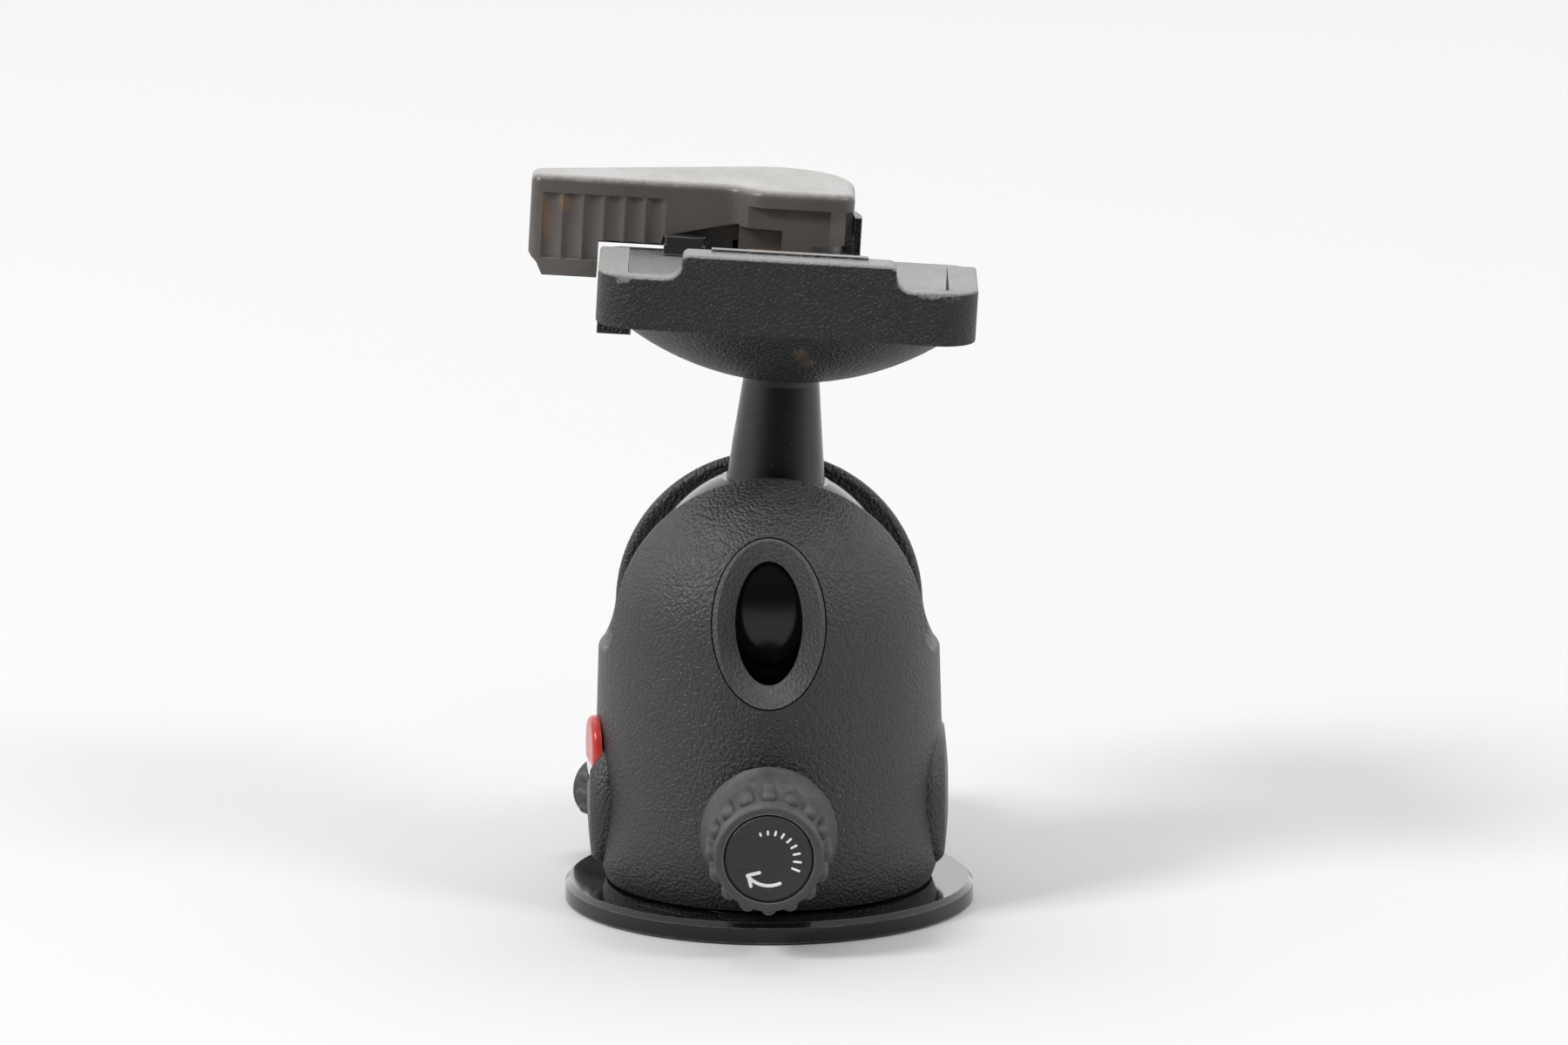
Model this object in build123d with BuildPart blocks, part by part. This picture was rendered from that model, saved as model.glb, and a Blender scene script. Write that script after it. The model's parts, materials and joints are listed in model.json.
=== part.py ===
from build123d import *
import os
from math import acos, asin, atan2, cos, degrees, hypot, radians, sin, sqrt, tan

# Tripod ball head with a quick-release receiver. Millimetres, +Z up. The origin is the centre
# of the base disc's underside, the friction knob faces -Y and the lock knob faces +Y.

# ---------------------------------------------------------------- fits and gaps
running_gap = 0.05          # radial, a shaft or plunger in its bore
seat_gap = 0.15             # ball to the housing's seat
liner_gap = 0.10            # ball to liner, liner to cup
washer_gap = 0.10           # axial play of the turntable
cover_gap = 0.30            # between pieces that pass each other
joint_line = 0.22           # shadow gap round an inlaid trim piece

# ---------------------------------------------------------------- base disc and turntable
base_radius = 33.0
base_thickness = 3.6
base_chamfer = 0.8
hub_radius = 9.5
hub_top = 16.2
thread_radius = 4.0         # tapped wall of the 3/8 inch tripod thread
thread_depth = 12.5
thread_chamfer = 0.7
lower_washer_thickness = 0.6
lower_washer_width = 9.0
floor_plate_thickness = 2.6
upper_washer_thickness = 0.5
upper_washer_width = 2.6
circlip_thickness = 0.9
circlip_groove_depth = 0.8
circlip_width = 2.7
circlip_opening = 4.0
brake_groove_depth = 1.2
brake_groove_half = 1.5

# ---------------------------------------------------------------- housing
foot_gap = 0.4
foot_radius = 26.3
body_radius = 28.3
body_height = 13.5          # where the foot's flare ends
dome_radius = 27.3
dome_height = 46.5
foot_wall = 1.4
slot_half = 10.0
slot_clearance = 0.5        # below the neck when it lies in the slot
slot_corner = 5.0
slot_round = 1.1
floor_screw_count = 4
floor_screw_start = 20.0    # degrees from +X
floor_screw_ring = 22.3
floor_screw_radius = 1.25
floor_screw_head = 2.1
floor_screw_length = 6.0
side_boss_radius = 12.3
side_boss_reach = 28.95     # on the right
badge_boss_reach = 29.4     # on the left, under the badge
side_boss_crown = 0.7
side_boss_edge = 1.8
side_boss_flank = 3.4
side_boss_height = 17.8
side_dish_radius = 4.3
side_dish_depth = 1.2
badge_radius = 5.3
badge_thickness = 1.5
badge_height = 25.6
badge_azimuth = 188.0
badge_seat = 27.75          # from the housing's axis to the badge's back

# ---------------------------------------------------------------- oval window
window_rise = 9.0           # degrees that the window's axis rises outwards
window_half_width = 9.2
window_half_height = 13.8
window_seat = 21.6
window_floor = 22.4
window_hole_half_width = 5.35
window_hole_half_height = 9.9
window_flare_width = 3.8
window_flare_height = 10.4

# ---------------------------------------------------------------- ball and its seat
ball_height = 51.0
ball_radius = 20.0
head_lean = 3.3             # degrees of rest tilt towards +X
ball_flat = 18.0            # from the ball's centre to the neck's shoulder
liner_thickness = 1.4
liner_hole_angle = 16.0
liner_rim_angle = 50.0
cup_bottom = 18.6
cup_cone_start = 9.5
cup_cone_angle = 30.0
cup_rim_width = 3.0
bolt_radius = 3.0
bolt_head_radius = 4.6
bolt_head_height = 4.2
bolt_head_recess = 14.3     # from the ball's centre to the recess floor
bolt_end = 26.0
bolt_key = 2.3

# ---------------------------------------------------------------- neck
spigot_radius = 5.5
spigot_length = 5.0
neck_root_radius = 7.92
neck_mid_radius = 7.02
neck_top_radius = 6.15
neck_taper_end = 34.0
neck_top = 40.0
clamp_screw_radius = 2.5
clamp_screw_depth = 10.5
clamp_head_radius = 4.4
clamp_head_height = 3.7
clamp_washer_thickness = 0.7
clamp_web = 4.5

# ---------------------------------------------------------------- receiver
receiver_width = 60.2
receiver_front = 24.5
receiver_rear = 29.0
front_corner = 6.8
rear_corner = 4.0
dome_bottom = 34.3
dome_curve = 45.0           # radius of the dome's underside, across the receiver
dome_depth = 24.2           # from the neck's axis to the dome's rim, front to back
tray_bottom = 45.6
tray_floor = 3.6
wall_height = 4.9
side_wall = 4.7
front_wall = 3.4
wall_rear = 1.0
lip_half_width = 16.9
lip_height = 3.9
lip_depth = 6.0
lip_undercut = 2.2
lip_fillet = 2.7
lip_corner = 1.1
lip_edge = 1.2
top_edge = 0.55
bottom_edge = 0.25
ridge_height = 0.4
ridge_half_width = 12.4
ridge_depth = 1.6
pad_height = 0.3            # the machined seat for the plate's foot stands proud of the floor
pad_rear = 10.0
pad_gap = 0.5

# ---------------------------------------------------------------- lever and its tower
pivot_u = -2.0
pivot_v = 34.0
pivot_radius = 3.0
pivot_screw_head = 4.8
pivot_screw_head_height = 2.2
pivot_washer_thickness = 0.7
tower_bottom = 43.9
lever_head_radius = 12.5
cam_height = 2.5            # from the cam's underside to the lever's head
lever_thickness = 8.9
lever_roof = 2.0            # left above the pivot's bore
cam_radius = 11.0
cam_offset = 1.7
arm_tip = 42.0
arm_near = 25.2
arm_tip_depth = 7.2
arm_drop = 7.5              # from the lever's head down to the finger end's underside
arm_clearance = 0.5
arm_step = 1.2
arm_corner = 1.8
head_step = 3.7             # the head stands this far in front of the arm
head_step_start = 11.0
head_step_end = 3.5
head_corner = 2.5
head_rim = 2.8              # the head's overhanging rim
head_inset = 1.3
notch_depth = 4.0
notch_start = 20.2
notch_mid = 8.0
notch_shallow = 3.5
notch_rise = 2.9
arm_notch_rise = 0.9
lever_round = 1.3
grip_count = 6
grip_first = 38.4
grip_pitch = 3.37
grip_radius = 2.1
grip_depth = 0.75
grip_band = 2.8
grip_foot = 2.8
guard_thickness = 1.2
guard_height = 6.1
guard_from = -4.0
guard_to = 48.0
tower_blend = 5.0
spring_pocket = 8.4
spring_boss = 4.7
spring_pocket_depth = 2.6
spring_coil = 6.5
spring_wire = 0.55
lug_width = 5.5
lug_depth = 8.0
lug_drop = 8.7

# ---------------------------------------------------------------- release button and catch
button_u = -4.15
button_v = 17.0
button_radius = 3.6
button_rise = 2.5
button_flange = 4.4
button_flange_height = 1.2
button_collar_radius = 5.6
button_collar_thickness = 1.6
button_well_depth = 7.4
button_boss_wall = 1.3
button_spring_coil = 2.6
button_spring_wire = 0.25
catch_u = -15.3
catch_v = 26.0
catch_eye = 2.3
catch_thickness = 1.6
catch_tab_width = 6.7
catch_tab_depth = 1.8
catch_tab_height = 3.0
catch_tab_u = -16.7
catch_tab_v = 22.2
catch_pin_radius = 1.1
catch_pin_head = 1.8
catch_pin_head_height = 0.7
catch_spring_wire = 0.2

# ---------------------------------------------------------------- knobs and their drives
friction_height = 17.4
friction_azimuth = -90.0
lock_height = 22.0
lock_azimuth = 90.0
pan_height = 10.4
pan_azimuth = 130.0
knob_gap = 0.35             # between a boss face and its knob


# ---------------------------------------------------------------- worked-out places
foot = base_thickness + foot_gap
plate_bottom = base_thickness + lower_washer_thickness + washer_gap
plate_top = plate_bottom + floor_plate_thickness
upper_washer_bottom = plate_top + washer_gap
circlip_bottom = upper_washer_bottom + upper_washer_thickness
circlip_top = circlip_bottom + circlip_thickness
plate_bore = hub_radius + running_gap
plate_radius = foot_radius - foot_wall
cavity_radius = ball_radius + seat_gap
slot_bottom = ball_height - neck_root_radius - slot_clearance
liner_inner = ball_radius + liner_gap
liner_outer = liner_inner + liner_thickness
cup_bowl = liner_outer + liner_gap
cup_radius = cavity_radius - liner_gap
cup_slope = tan(radians(cup_cone_angle))
tray_top = tray_bottom + tray_floor
plate_seat = tray_top + pad_height
wall_top = tray_top + wall_height
lip_top = wall_top + lip_height
half_width = receiver_width / 2
cavity_half = half_width - side_wall
cam_bottom = tray_top + cover_gap
lever_bottom = cam_bottom + cam_height
lever_top = lever_bottom + lever_thickness
lever_bore_end = lever_top - lever_roof
arm_bottom = lever_bottom - arm_drop
arm_low = tray_top + arm_clearance
button_well = tray_top - button_well_depth
tower_radius = lever_head_radius + cover_gap + guard_thickness
clamp_seat = neck_top + clamp_web

vertical = Plane.XY
head = Plane(
    origin=(0, 0, ball_height),
    x_dir=(cos(radians(head_lean)), 0, -sin(radians(head_lean))),
    z_dir=(sin(radians(head_lean)), 0, cos(radians(head_lean))),
)
finished = []


def finish(piece, label):
    """Name a finished piece and keep it for export."""
    piece.part.label = label
    finished.append(piece)
    return piece


def section_of(plane):
    """The half plane that holds a plane's own axis as its vertical: x is radius, y is height."""
    return Plane(origin=plane.origin, x_dir=plane.x_dir, z_dir=-plane.y_dir)


def axis_of(plane):
    return Axis(plane.origin, plane.z_dir)


def deck(height):
    """A plane across the neck's axis, at a height above the ball's centre."""
    return head.offset(height)


def drive_plane(height, azimuth):
    """A plane on the housing's axis that looks outwards: +X level, +Y up, +Z away."""
    turn = radians(azimuth)
    return Plane(
        origin=(0, 0, height),
        x_dir=(-sin(turn), cos(turn), 0),
        z_dir=(cos(turn), sin(turn), 0),
    )


def turned(label, plane, outline):
    """A turned piece from its half outline of (radius, height) points."""
    with BuildPart() as piece:
        with BuildSketch(section_of(plane)):
            with BuildLine():
                Polyline(*outline, close=True)
            make_face()
        revolve(axis=axis_of(plane))
    return finish(piece, label)


def ring(inner, outer, low, high):
    """The half outline of a plain ring."""
    return [(inner, low), (outer, low), (outer, high), (inner, high)]


# ================================================================ base and turntable
base_disc = turned("base_disc", vertical, [
    (hub_radius, 0),
    (base_radius - base_chamfer / 2, 0),
    (base_radius, base_chamfer / 2),
    (base_radius, base_thickness - base_chamfer),
    (base_radius - base_chamfer, base_thickness),
    (hub_radius, base_thickness),
])

# the hub is pressed into the disc and holds the tripod thread
turntable_hub = turned("turntable_hub", vertical, [
    (0, thread_depth),
    (thread_radius, thread_depth),
    (thread_radius, thread_chamfer),
    (thread_radius + thread_chamfer, 0),
    (hub_radius, 0),
    (hub_radius, circlip_bottom),
    (hub_radius - circlip_groove_depth, circlip_bottom),
    (hub_radius - circlip_groove_depth, circlip_top),
    (hub_radius, circlip_top),
    (hub_radius, pan_height - brake_groove_half),
    (hub_radius - brake_groove_depth, pan_height),
    (hub_radius, pan_height + brake_groove_half),
    (hub_radius, hub_top - base_chamfer),
    (hub_radius - base_chamfer, hub_top),
    (0, hub_top),
])

lower_thrust_washer = turned("lower_thrust_washer", vertical, ring(
    hub_radius + cover_gap, hub_radius + cover_gap + lower_washer_width,
    base_thickness, base_thickness + lower_washer_thickness))

upper_thrust_washer = turned("upper_thrust_washer", vertical, ring(
    hub_radius + running_gap, hub_radius + running_gap + upper_washer_width,
    upper_washer_bottom, circlip_bottom))

with BuildPart() as hub_circlip:
    with BuildSketch(vertical.offset(circlip_bottom)):
        Circle(hub_radius - circlip_groove_depth + circlip_width)
        Circle(hub_radius - circlip_groove_depth, mode=Mode.SUBTRACT)
        with Locations((hub_radius, 0)):
            Rectangle(2 * circlip_width, circlip_opening, mode=Mode.SUBTRACT)
    extrude(amount=circlip_thickness)
finish(hub_circlip, "hub_circlip")

screw_cone = floor_screw_head - floor_screw_radius
with BuildPart() as floor_plate:
    with BuildSketch(vertical.offset(plate_bottom)):
        Circle(plate_radius)
        Circle(plate_bore, mode=Mode.SUBTRACT)
    extrude(amount=floor_plate_thickness)
    with PolarLocations(floor_screw_ring, floor_screw_count, floor_screw_start):
        with Locations((0, 0, plate_bottom)):
            Cylinder(floor_screw_radius, floor_plate_thickness, mode=Mode.SUBTRACT,
                     align=(Align.CENTER, Align.CENTER, Align.MIN))
            Cone(floor_screw_head, floor_screw_radius, screw_cone, mode=Mode.SUBTRACT,
                 align=(Align.CENTER, Align.CENTER, Align.MIN))
finish(floor_plate, "floor_plate")

with BuildPart() as floor_screws:
    with PolarLocations(floor_screw_ring, floor_screw_count, floor_screw_start):
        with Locations((0, 0, plate_bottom)):
            Cone(floor_screw_head, floor_screw_radius, screw_cone,
                 align=(Align.CENTER, Align.CENTER, Align.MIN))
            Cylinder(floor_screw_radius, floor_plate_thickness + floor_screw_length,
                     align=(Align.CENTER, Align.CENTER, Align.MIN))
finish(floor_screws, "floor_screws")


# ================================================================ knob drives
class Drive:
    """Sizes of one screw drive, measured outwards from the housing's axis."""

    def __init__(self, height, azimuth, **sizes):
        self.plane = drive_plane(height, azimuth)
        self.__dict__.update(sizes)


friction = Drive(
    friction_height, friction_azimuth,
    tip=10.7, plunger_radius=3.6, plunger_end=24.4, travel=0.5,
    shaft_radius=2.0, shaft_start=16.0, collar_width=1.0,
    bush_radius=5.4, bush_start=20.6, face=28.9, boss_radius=10.0,
    knob_length=17.05, flange_radius=10.9, flange_width=1.3, waist_radius=9.25, front_radius=8.6,
    rim_round=0.7, cap_radius=6.95, cap_depth=1.0, cap_recess=0.0,
    rib_count=16, rib_radius=1.25, rib_ring=8.75, rib_front=2.4, rib_start=90,
)
lock = Drive(
    lock_height, lock_azimuth,
    tip=10.6, plunger_radius=4.2, plunger_end=23.8, travel=0.5,
    shaft_radius=2.2, shaft_start=20.6, collar_width=1.2,
    bush_radius=6.2, bush_start=20.6, face=29.4, boss_radius=11.5,
    knob_length=20.25, flange_radius=16.6, flange_width=1.8, waist_radius=14.3, front_radius=13.6,
    rim_round=1.2, cap_radius=10.2, cap_depth=1.6, cap_recess=0.1,
    rib_count=20, rib_radius=1.7, rib_ring=13.7, rib_front=3.4, rib_start=99,
)
pan = Drive(
    pan_height, pan_azimuth,
    tip=8.93, plunger_radius=1.8, plunger_end=23.6, travel=0.7,
    shaft_radius=1.1, shaft_start=16.0, collar_width=0.8,
    bush_radius=3.2, bush_start=13.4, face=28.9, boss_radius=6.1,
    knob_length=15.45, flange_radius=6.3, flange_width=1.2, waist_radius=5.35, front_radius=4.95,
    rim_round=0.5, cap_radius=3.8, cap_depth=1.0, cap_recess=0.0,
    rib_count=12, rib_radius=0.85, rib_ring=5.2, rib_front=1.9, rib_start=90,
)
drives = (friction, lock, pan)
for drive in drives:
    drive.collar_start = drive.plunger_end + drive.travel + running_gap
    drive.collar_end = drive.collar_start + drive.collar_width
    drive.chamber_end = drive.collar_end + running_gap
    drive.chamber_radius = drive.plunger_radius + running_gap
    drive.knob_back = drive.face + knob_gap


# ================================================================ housing
draft = asin((body_radius - dome_radius) / (dome_height - body_height))
dome_start = (dome_radius * cos(draft), dome_height + dome_radius * sin(draft))
dome_shoulder = dome_radius * sin(radians(45))
flare = (foot_radius * 0.42 + body_radius * 0.58, foot * 0.62 + body_height * 0.38)
with BuildPart() as housing_blank:
    with BuildSketch(section_of(vertical)):
        with BuildLine():
            Line((0, foot), (foot_radius, foot))
            ThreePointArc((foot_radius, foot), flare, (body_radius, body_height))
            Line((body_radius, body_height), dome_start)
            ThreePointArc(dome_start, (dome_shoulder, dome_height + dome_shoulder),
                          (0, dome_height + dome_radius))
            Line((0, dome_height + dome_radius), (0, foot))
        make_face()
    revolve(axis=Axis.Z)

window = Plane(
    origin=(0, 0, dome_height),
    x_dir=(1, 0, 0),
    z_dir=(0, -cos(radians(window_rise)), sin(radians(window_rise))),
)
right_side = drive_plane(side_boss_height, 0)
left_side = drive_plane(side_boss_height, 180)
badge_plane = drive_plane(badge_height, badge_azimuth)


def on_slot_lip(edge):
    """True for an edge of the drop slot that lies on the housing's outer skin."""
    place = edge @ 0.5
    out = hypot(place.X, place.Y, max(place.Z - dome_height, 0))
    return out > dome_radius - 0.8 and abs(place.Y) < slot_half + 0.01 and place.Z > slot_bottom - 0.01


with BuildPart() as housing_shell:
    add(housing_blank.part)
    for side, reach in ((right_side, side_boss_reach), (left_side, badge_boss_reach)):
        rim = side_boss_radius - side_boss_edge
        with BuildSketch(section_of(side)):
            with BuildLine():
                Line((0, cavity_radius), (0, reach))
                ThreePointArc((0, reach), (rim / 2, reach - side_boss_crown / 4), (rim, reach - side_boss_crown))
                RadiusArc((rim, reach - side_boss_crown), (side_boss_radius, reach - side_boss_flank),
                          2 * side_boss_edge)
                Polyline((side_boss_radius, reach - side_boss_flank), (side_boss_radius, cavity_radius),
                         (0, cavity_radius))
            make_face()
        revolve(axis=axis_of(side))
    for drive in drives:
        with BuildSketch(drive.plane.offset(cavity_radius)):
            Circle(drive.boss_radius)
        extrude(amount=drive.face - cavity_radius)
    # the cavity that the ball enters from below, and the plate's seat at the foot
    with BuildSketch(section_of(vertical)):
        with BuildLine():
            Line((0, 0), (plate_radius, 0))
            Line((plate_radius, 0), (plate_radius, plate_top))
            Line((plate_radius, plate_top), (cavity_radius, plate_top))
            Line((cavity_radius, plate_top), (cavity_radius, ball_height))
            ThreePointArc((cavity_radius, ball_height),
                          (cavity_radius * sin(radians(45)), ball_height + cavity_radius * cos(radians(45))),
                          (0, ball_height + cavity_radius))
            Line((0, ball_height + cavity_radius), (0, 0))
        make_face()
    revolve(axis=Axis.Z, mode=Mode.SUBTRACT)
    # the left-right slot that the neck drops into
    with BuildSketch(Plane.YZ):
        with Locations((0, slot_bottom)):
            Rectangle(2 * slot_half, dome_radius + dome_height, align=(Align.CENTER, Align.MIN))
        fillet(vertices().group_by(Axis.Z)[0], radius=slot_corner)
    extrude(amount=2 * body_radius, both=True, mode=Mode.SUBTRACT)
    fillet(housing_shell.edges().filter_by(on_slot_lip), radius=slot_round)
    # the oval window's seat and its hole
    with BuildSketch(window.offset(window_seat)):
        Ellipse(window_half_width, window_half_height)
    extrude(amount=dome_radius, mode=Mode.SUBTRACT)
    with BuildSketch(window):
        Ellipse(window_hole_half_width + joint_line, window_hole_half_height + joint_line)
    extrude(amount=dome_radius, mode=Mode.SUBTRACT)
    # bores for the three drive bushes
    for drive in drives:
        with BuildSketch(drive.plane.offset(drive.tip)):
            Circle(drive.bush_radius)
        extrude(amount=drive.face, mode=Mode.SUBTRACT)
    # the dished recess on the right, the badge's seat on the left
    with BuildSketch(right_side.offset(side_boss_reach)):
        Circle(side_dish_radius)
    extrude(amount=-side_dish_depth, taper=30, mode=Mode.SUBTRACT)
    with BuildSketch(badge_plane.offset(badge_seat)):
        Circle(badge_radius + joint_line)
    extrude(amount=badge_seat, mode=Mode.SUBTRACT)
    with PolarLocations(floor_screw_ring, floor_screw_count, floor_screw_start):
        with Locations((0, 0, plate_top)):
            Cylinder(floor_screw_radius, floor_screw_length, mode=Mode.SUBTRACT,
                     align=(Align.CENTER, Align.CENTER, Align.MIN))
finish(housing_shell, "housing_shell")

with BuildPart() as window_bezel:
    with BuildSketch(window.offset(window_seat)):
        Ellipse(window_half_width - joint_line, window_half_height - joint_line)
    extrude(amount=dome_radius)
    add(housing_blank.part, mode=Mode.INTERSECT)
    with BuildSketch(window.offset(window_floor)):
        Ellipse(window_hole_half_width, window_hole_half_height)
    with BuildSketch(window.offset(dome_radius)):
        Ellipse(window_hole_half_width + window_flare_width, window_hole_half_height + window_flare_height)
    loft(mode=Mode.SUBTRACT)
    with BuildSketch(window):
        Ellipse(window_hole_half_width, window_hole_half_height)
    extrude(amount=dome_radius, mode=Mode.SUBTRACT)
finish(window_bezel, "window_bezel")

with BuildPart() as side_badge:
    with BuildSketch(badge_plane.offset(badge_seat)):
        Circle(badge_radius)
    extrude(amount=badge_thickness)
    fillet(side_badge.edges().filter_by(GeomType.CIRCLE).sort_by(axis_of(badge_plane))[-1], radius=badge_thickness * 0.6)
finish(side_badge, "side_badge")


# ================================================================ ball, liner, cup
def bowl_point(radius, angle):
    """A point on a sphere about the ball's centre, at an angle from straight down."""
    return (radius * sin(radians(angle)), ball_height - radius * cos(radians(angle)))


with BuildPart() as friction_liner:
    middle = (liner_hole_angle + liner_rim_angle) / 2
    with BuildSketch(section_of(vertical)):
        with BuildLine():
            ThreePointArc(*[bowl_point(liner_inner, a) for a in (liner_hole_angle, middle, liner_rim_angle)])
            Line(bowl_point(liner_inner, liner_rim_angle), bowl_point(liner_outer, liner_rim_angle))
            ThreePointArc(*[bowl_point(liner_outer, a) for a in (liner_rim_angle, middle, liner_hole_angle)])
            Line(bowl_point(liner_outer, liner_hole_angle), bowl_point(liner_inner, liner_hole_angle))
        make_face()
    revolve(axis=Axis.Z)
finish(friction_liner, "friction_liner")

with BuildPart() as pressure_cup:
    rim_radius = cup_radius - cup_rim_width
    rim_angle = degrees(asin(rim_radius / cup_bowl))
    rim_height = bowl_point(cup_bowl, rim_angle)[1]
    cone_end = cup_bottom + (cup_radius - cup_cone_start) * cup_slope
    with BuildSketch(section_of(vertical)):
        with BuildLine():
            ThreePointArc(*[bowl_point(cup_bowl, a) for a in (0, rim_angle / 2, rim_angle)])
            Polyline((rim_radius, rim_height), (cup_radius, rim_height), (cup_radius, cone_end),
                     (cup_cone_start, cup_bottom), (0, cup_bottom), (0, ball_height - cup_bowl))
        make_face()
    revolve(axis=Axis.Z)
finish(pressure_cup, "pressure_cup")

bolt_bore = bolt_radius + running_gap
ball_flat_radius = sqrt(ball_radius ** 2 - ball_flat ** 2)
recess_radius = bolt_head_radius + cover_gap
recess_mouth = sqrt(ball_radius ** 2 - recess_radius ** 2)
with BuildPart() as ball:
    with BuildSketch(section_of(head)):
        with BuildLine():
            ThreePointArc((recess_radius, -recess_mouth), (ball_radius, 0), (ball_flat_radius, ball_flat))
            Polyline((ball_flat_radius, ball_flat), (spigot_radius, ball_flat),
                     (spigot_radius, ball_flat - spigot_length), (bolt_bore, ball_flat - spigot_length),
                     (bolt_bore, -bolt_head_recess), (recess_radius, -bolt_head_recess),
                     (recess_radius, -recess_mouth))
        make_face()
    revolve(axis=axis_of(head))
finish(ball, "ball")

bolt_head_top = -bolt_head_recess - liner_gap
with BuildPart() as ball_bolt:
    with BuildSketch(deck(bolt_head_top)):
        Circle(bolt_head_radius)
    extrude(amount=-bolt_head_height)
    with BuildSketch(deck(bolt_head_top)):
        Circle(bolt_radius)
    extrude(amount=bolt_end - bolt_head_top)
    with BuildSketch(deck(bolt_head_top - bolt_head_height)):
        RegularPolygon(bolt_key, 6)
    extrude(amount=bolt_head_height * 0.6, mode=Mode.SUBTRACT)
finish(ball_bolt, "ball_bolt")

# ================================================================ neck and its clamp screw
clamp_end = neck_top - clamp_screw_depth
with BuildPart() as neck:
    with BuildSketch(section_of(head)):
        with BuildLine():
            Polyline((bolt_bore, ball_flat - spigot_length), (spigot_radius, ball_flat - spigot_length),
                     (spigot_radius, ball_flat), (neck_root_radius, ball_flat))
            ThreePointArc((neck_root_radius, ball_flat), (neck_mid_radius, (ball_flat + neck_taper_end) / 2),
                          (neck_top_radius, neck_taper_end))
            Polyline((neck_top_radius, neck_taper_end), (neck_top_radius, neck_top),
                     (clamp_screw_radius, neck_top), (clamp_screw_radius, clamp_end),
                     (0, clamp_end), (0, bolt_end + cover_gap), (bolt_bore, bolt_end + cover_gap),
                     (bolt_bore, ball_flat - spigot_length))
        make_face()
    revolve(axis=axis_of(head))
finish(neck, "neck")

clamp_washer = turned("clamp_washer", head, ring(
    clamp_screw_radius + running_gap, clamp_head_radius,
    clamp_seat, clamp_seat + clamp_washer_thickness))

with BuildPart() as clamp_screw:
    with BuildSketch(deck(clamp_end + cover_gap)):
        Circle(clamp_screw_radius)
    extrude(amount=clamp_seat + clamp_washer_thickness - clamp_end - cover_gap)
    with BuildSketch(deck(clamp_seat + clamp_washer_thickness)):
        Circle(clamp_head_radius)
    extrude(amount=clamp_head_height)
    with BuildSketch(deck(clamp_seat + clamp_washer_thickness + clamp_head_height)):
        RegularPolygon(bolt_key, 6)
    extrude(amount=-clamp_head_height * 0.6, mode=Mode.SUBTRACT)
finish(clamp_screw, "clamp_screw")


# ================================================================ receiver
pivot = (pivot_u, pivot_v)
cam_centre = (pivot_u, pivot_v - cam_offset)
lip_slope = lip_undercut * 2

with BuildSketch() as tray_plan:
    with Locations((0, (receiver_rear - receiver_front) / 2)):
        Rectangle(receiver_width, receiver_rear + receiver_front)
    fillet(tray_plan.vertices().group_by(Axis.Y)[0], radius=front_corner)


def rim_distance(point):
    """How far a point lies outside the receiver's front and side walls."""
    place = head.to_local_coords(point)
    across = abs(place.X) - half_width + front_corner
    forward = -place.Y - receiver_front + front_corner
    if across > 0 and forward > 0:
        return hypot(across, forward) - front_corner
    return max(across, forward) - front_corner


def runs_along_rim(edge, above):
    """True for an edge on the outer walls, above a height, that isn't an upright seam."""
    ends = [head.to_local_coords(edge @ share) for share in (0.1, 0.9)]
    level = hypot(ends[0].X - ends[1].X, ends[0].Y - ends[1].Y) > 0.01
    touches = all(abs(rim_distance(edge @ share)) < 0.01 for share in (0.1, 0.5, 0.9))
    return level and touches and ends[0].Z > above


with BuildSketch() as wall_plan:
    add(tray_plan.sketch)
    with Locations((0, front_wall - receiver_front)):
        Rectangle(2 * cavity_half, 2 * receiver_front, mode=Mode.SUBTRACT, align=(Align.CENTER, Align.MIN))
    with Locations((0, wall_rear)):
        Rectangle(2 * receiver_width, 2 * receiver_rear, mode=Mode.SUBTRACT, align=(Align.CENTER, Align.MIN))

with BuildSketch() as floor_plan:
    add(tray_plan.sketch)
    fillet(floor_plan.vertices().group_by(Axis.Y)[-1], radius=rear_corner)
    with Locations(pivot):
        Circle(tower_radius)
    fillet(floor_plan.vertices().filter_by(
        lambda v: abs(v.Y - receiver_rear) < 0.01 and abs(v.X - pivot_u) < tower_radius), radius=tower_blend)

front_view = Plane(origin=head.origin, x_dir=head.x_dir, z_dir=-head.y_dir)
side_view = Plane(origin=head.origin, x_dir=head.y_dir, z_dir=head.x_dir)

# the dome under the tray, round across and drawn in from front to back
dome_rim = sqrt(dome_curve ** 2 - (dome_curve - tray_bottom + dome_bottom) ** 2)
with BuildPart() as round_dome:
    with BuildSketch(Plane.XZ):
        with BuildLine():
            half_rim = dome_rim / 2
            ThreePointArc((0, dome_bottom),
                          (half_rim, dome_bottom + dome_curve - sqrt(dome_curve ** 2 - half_rim ** 2)),
                          (dome_rim, tray_bottom))
            Polyline((dome_rim, tray_bottom), (dome_rim, tray_bottom + tray_floor / 2),
                     (0, tray_bottom + tray_floor / 2), (0, dome_bottom))
        make_face()
    revolve(axis=Axis.Z)
receiver_dome = scale(round_dome.part, by=(1, dome_depth / dome_rim, 1))

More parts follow.
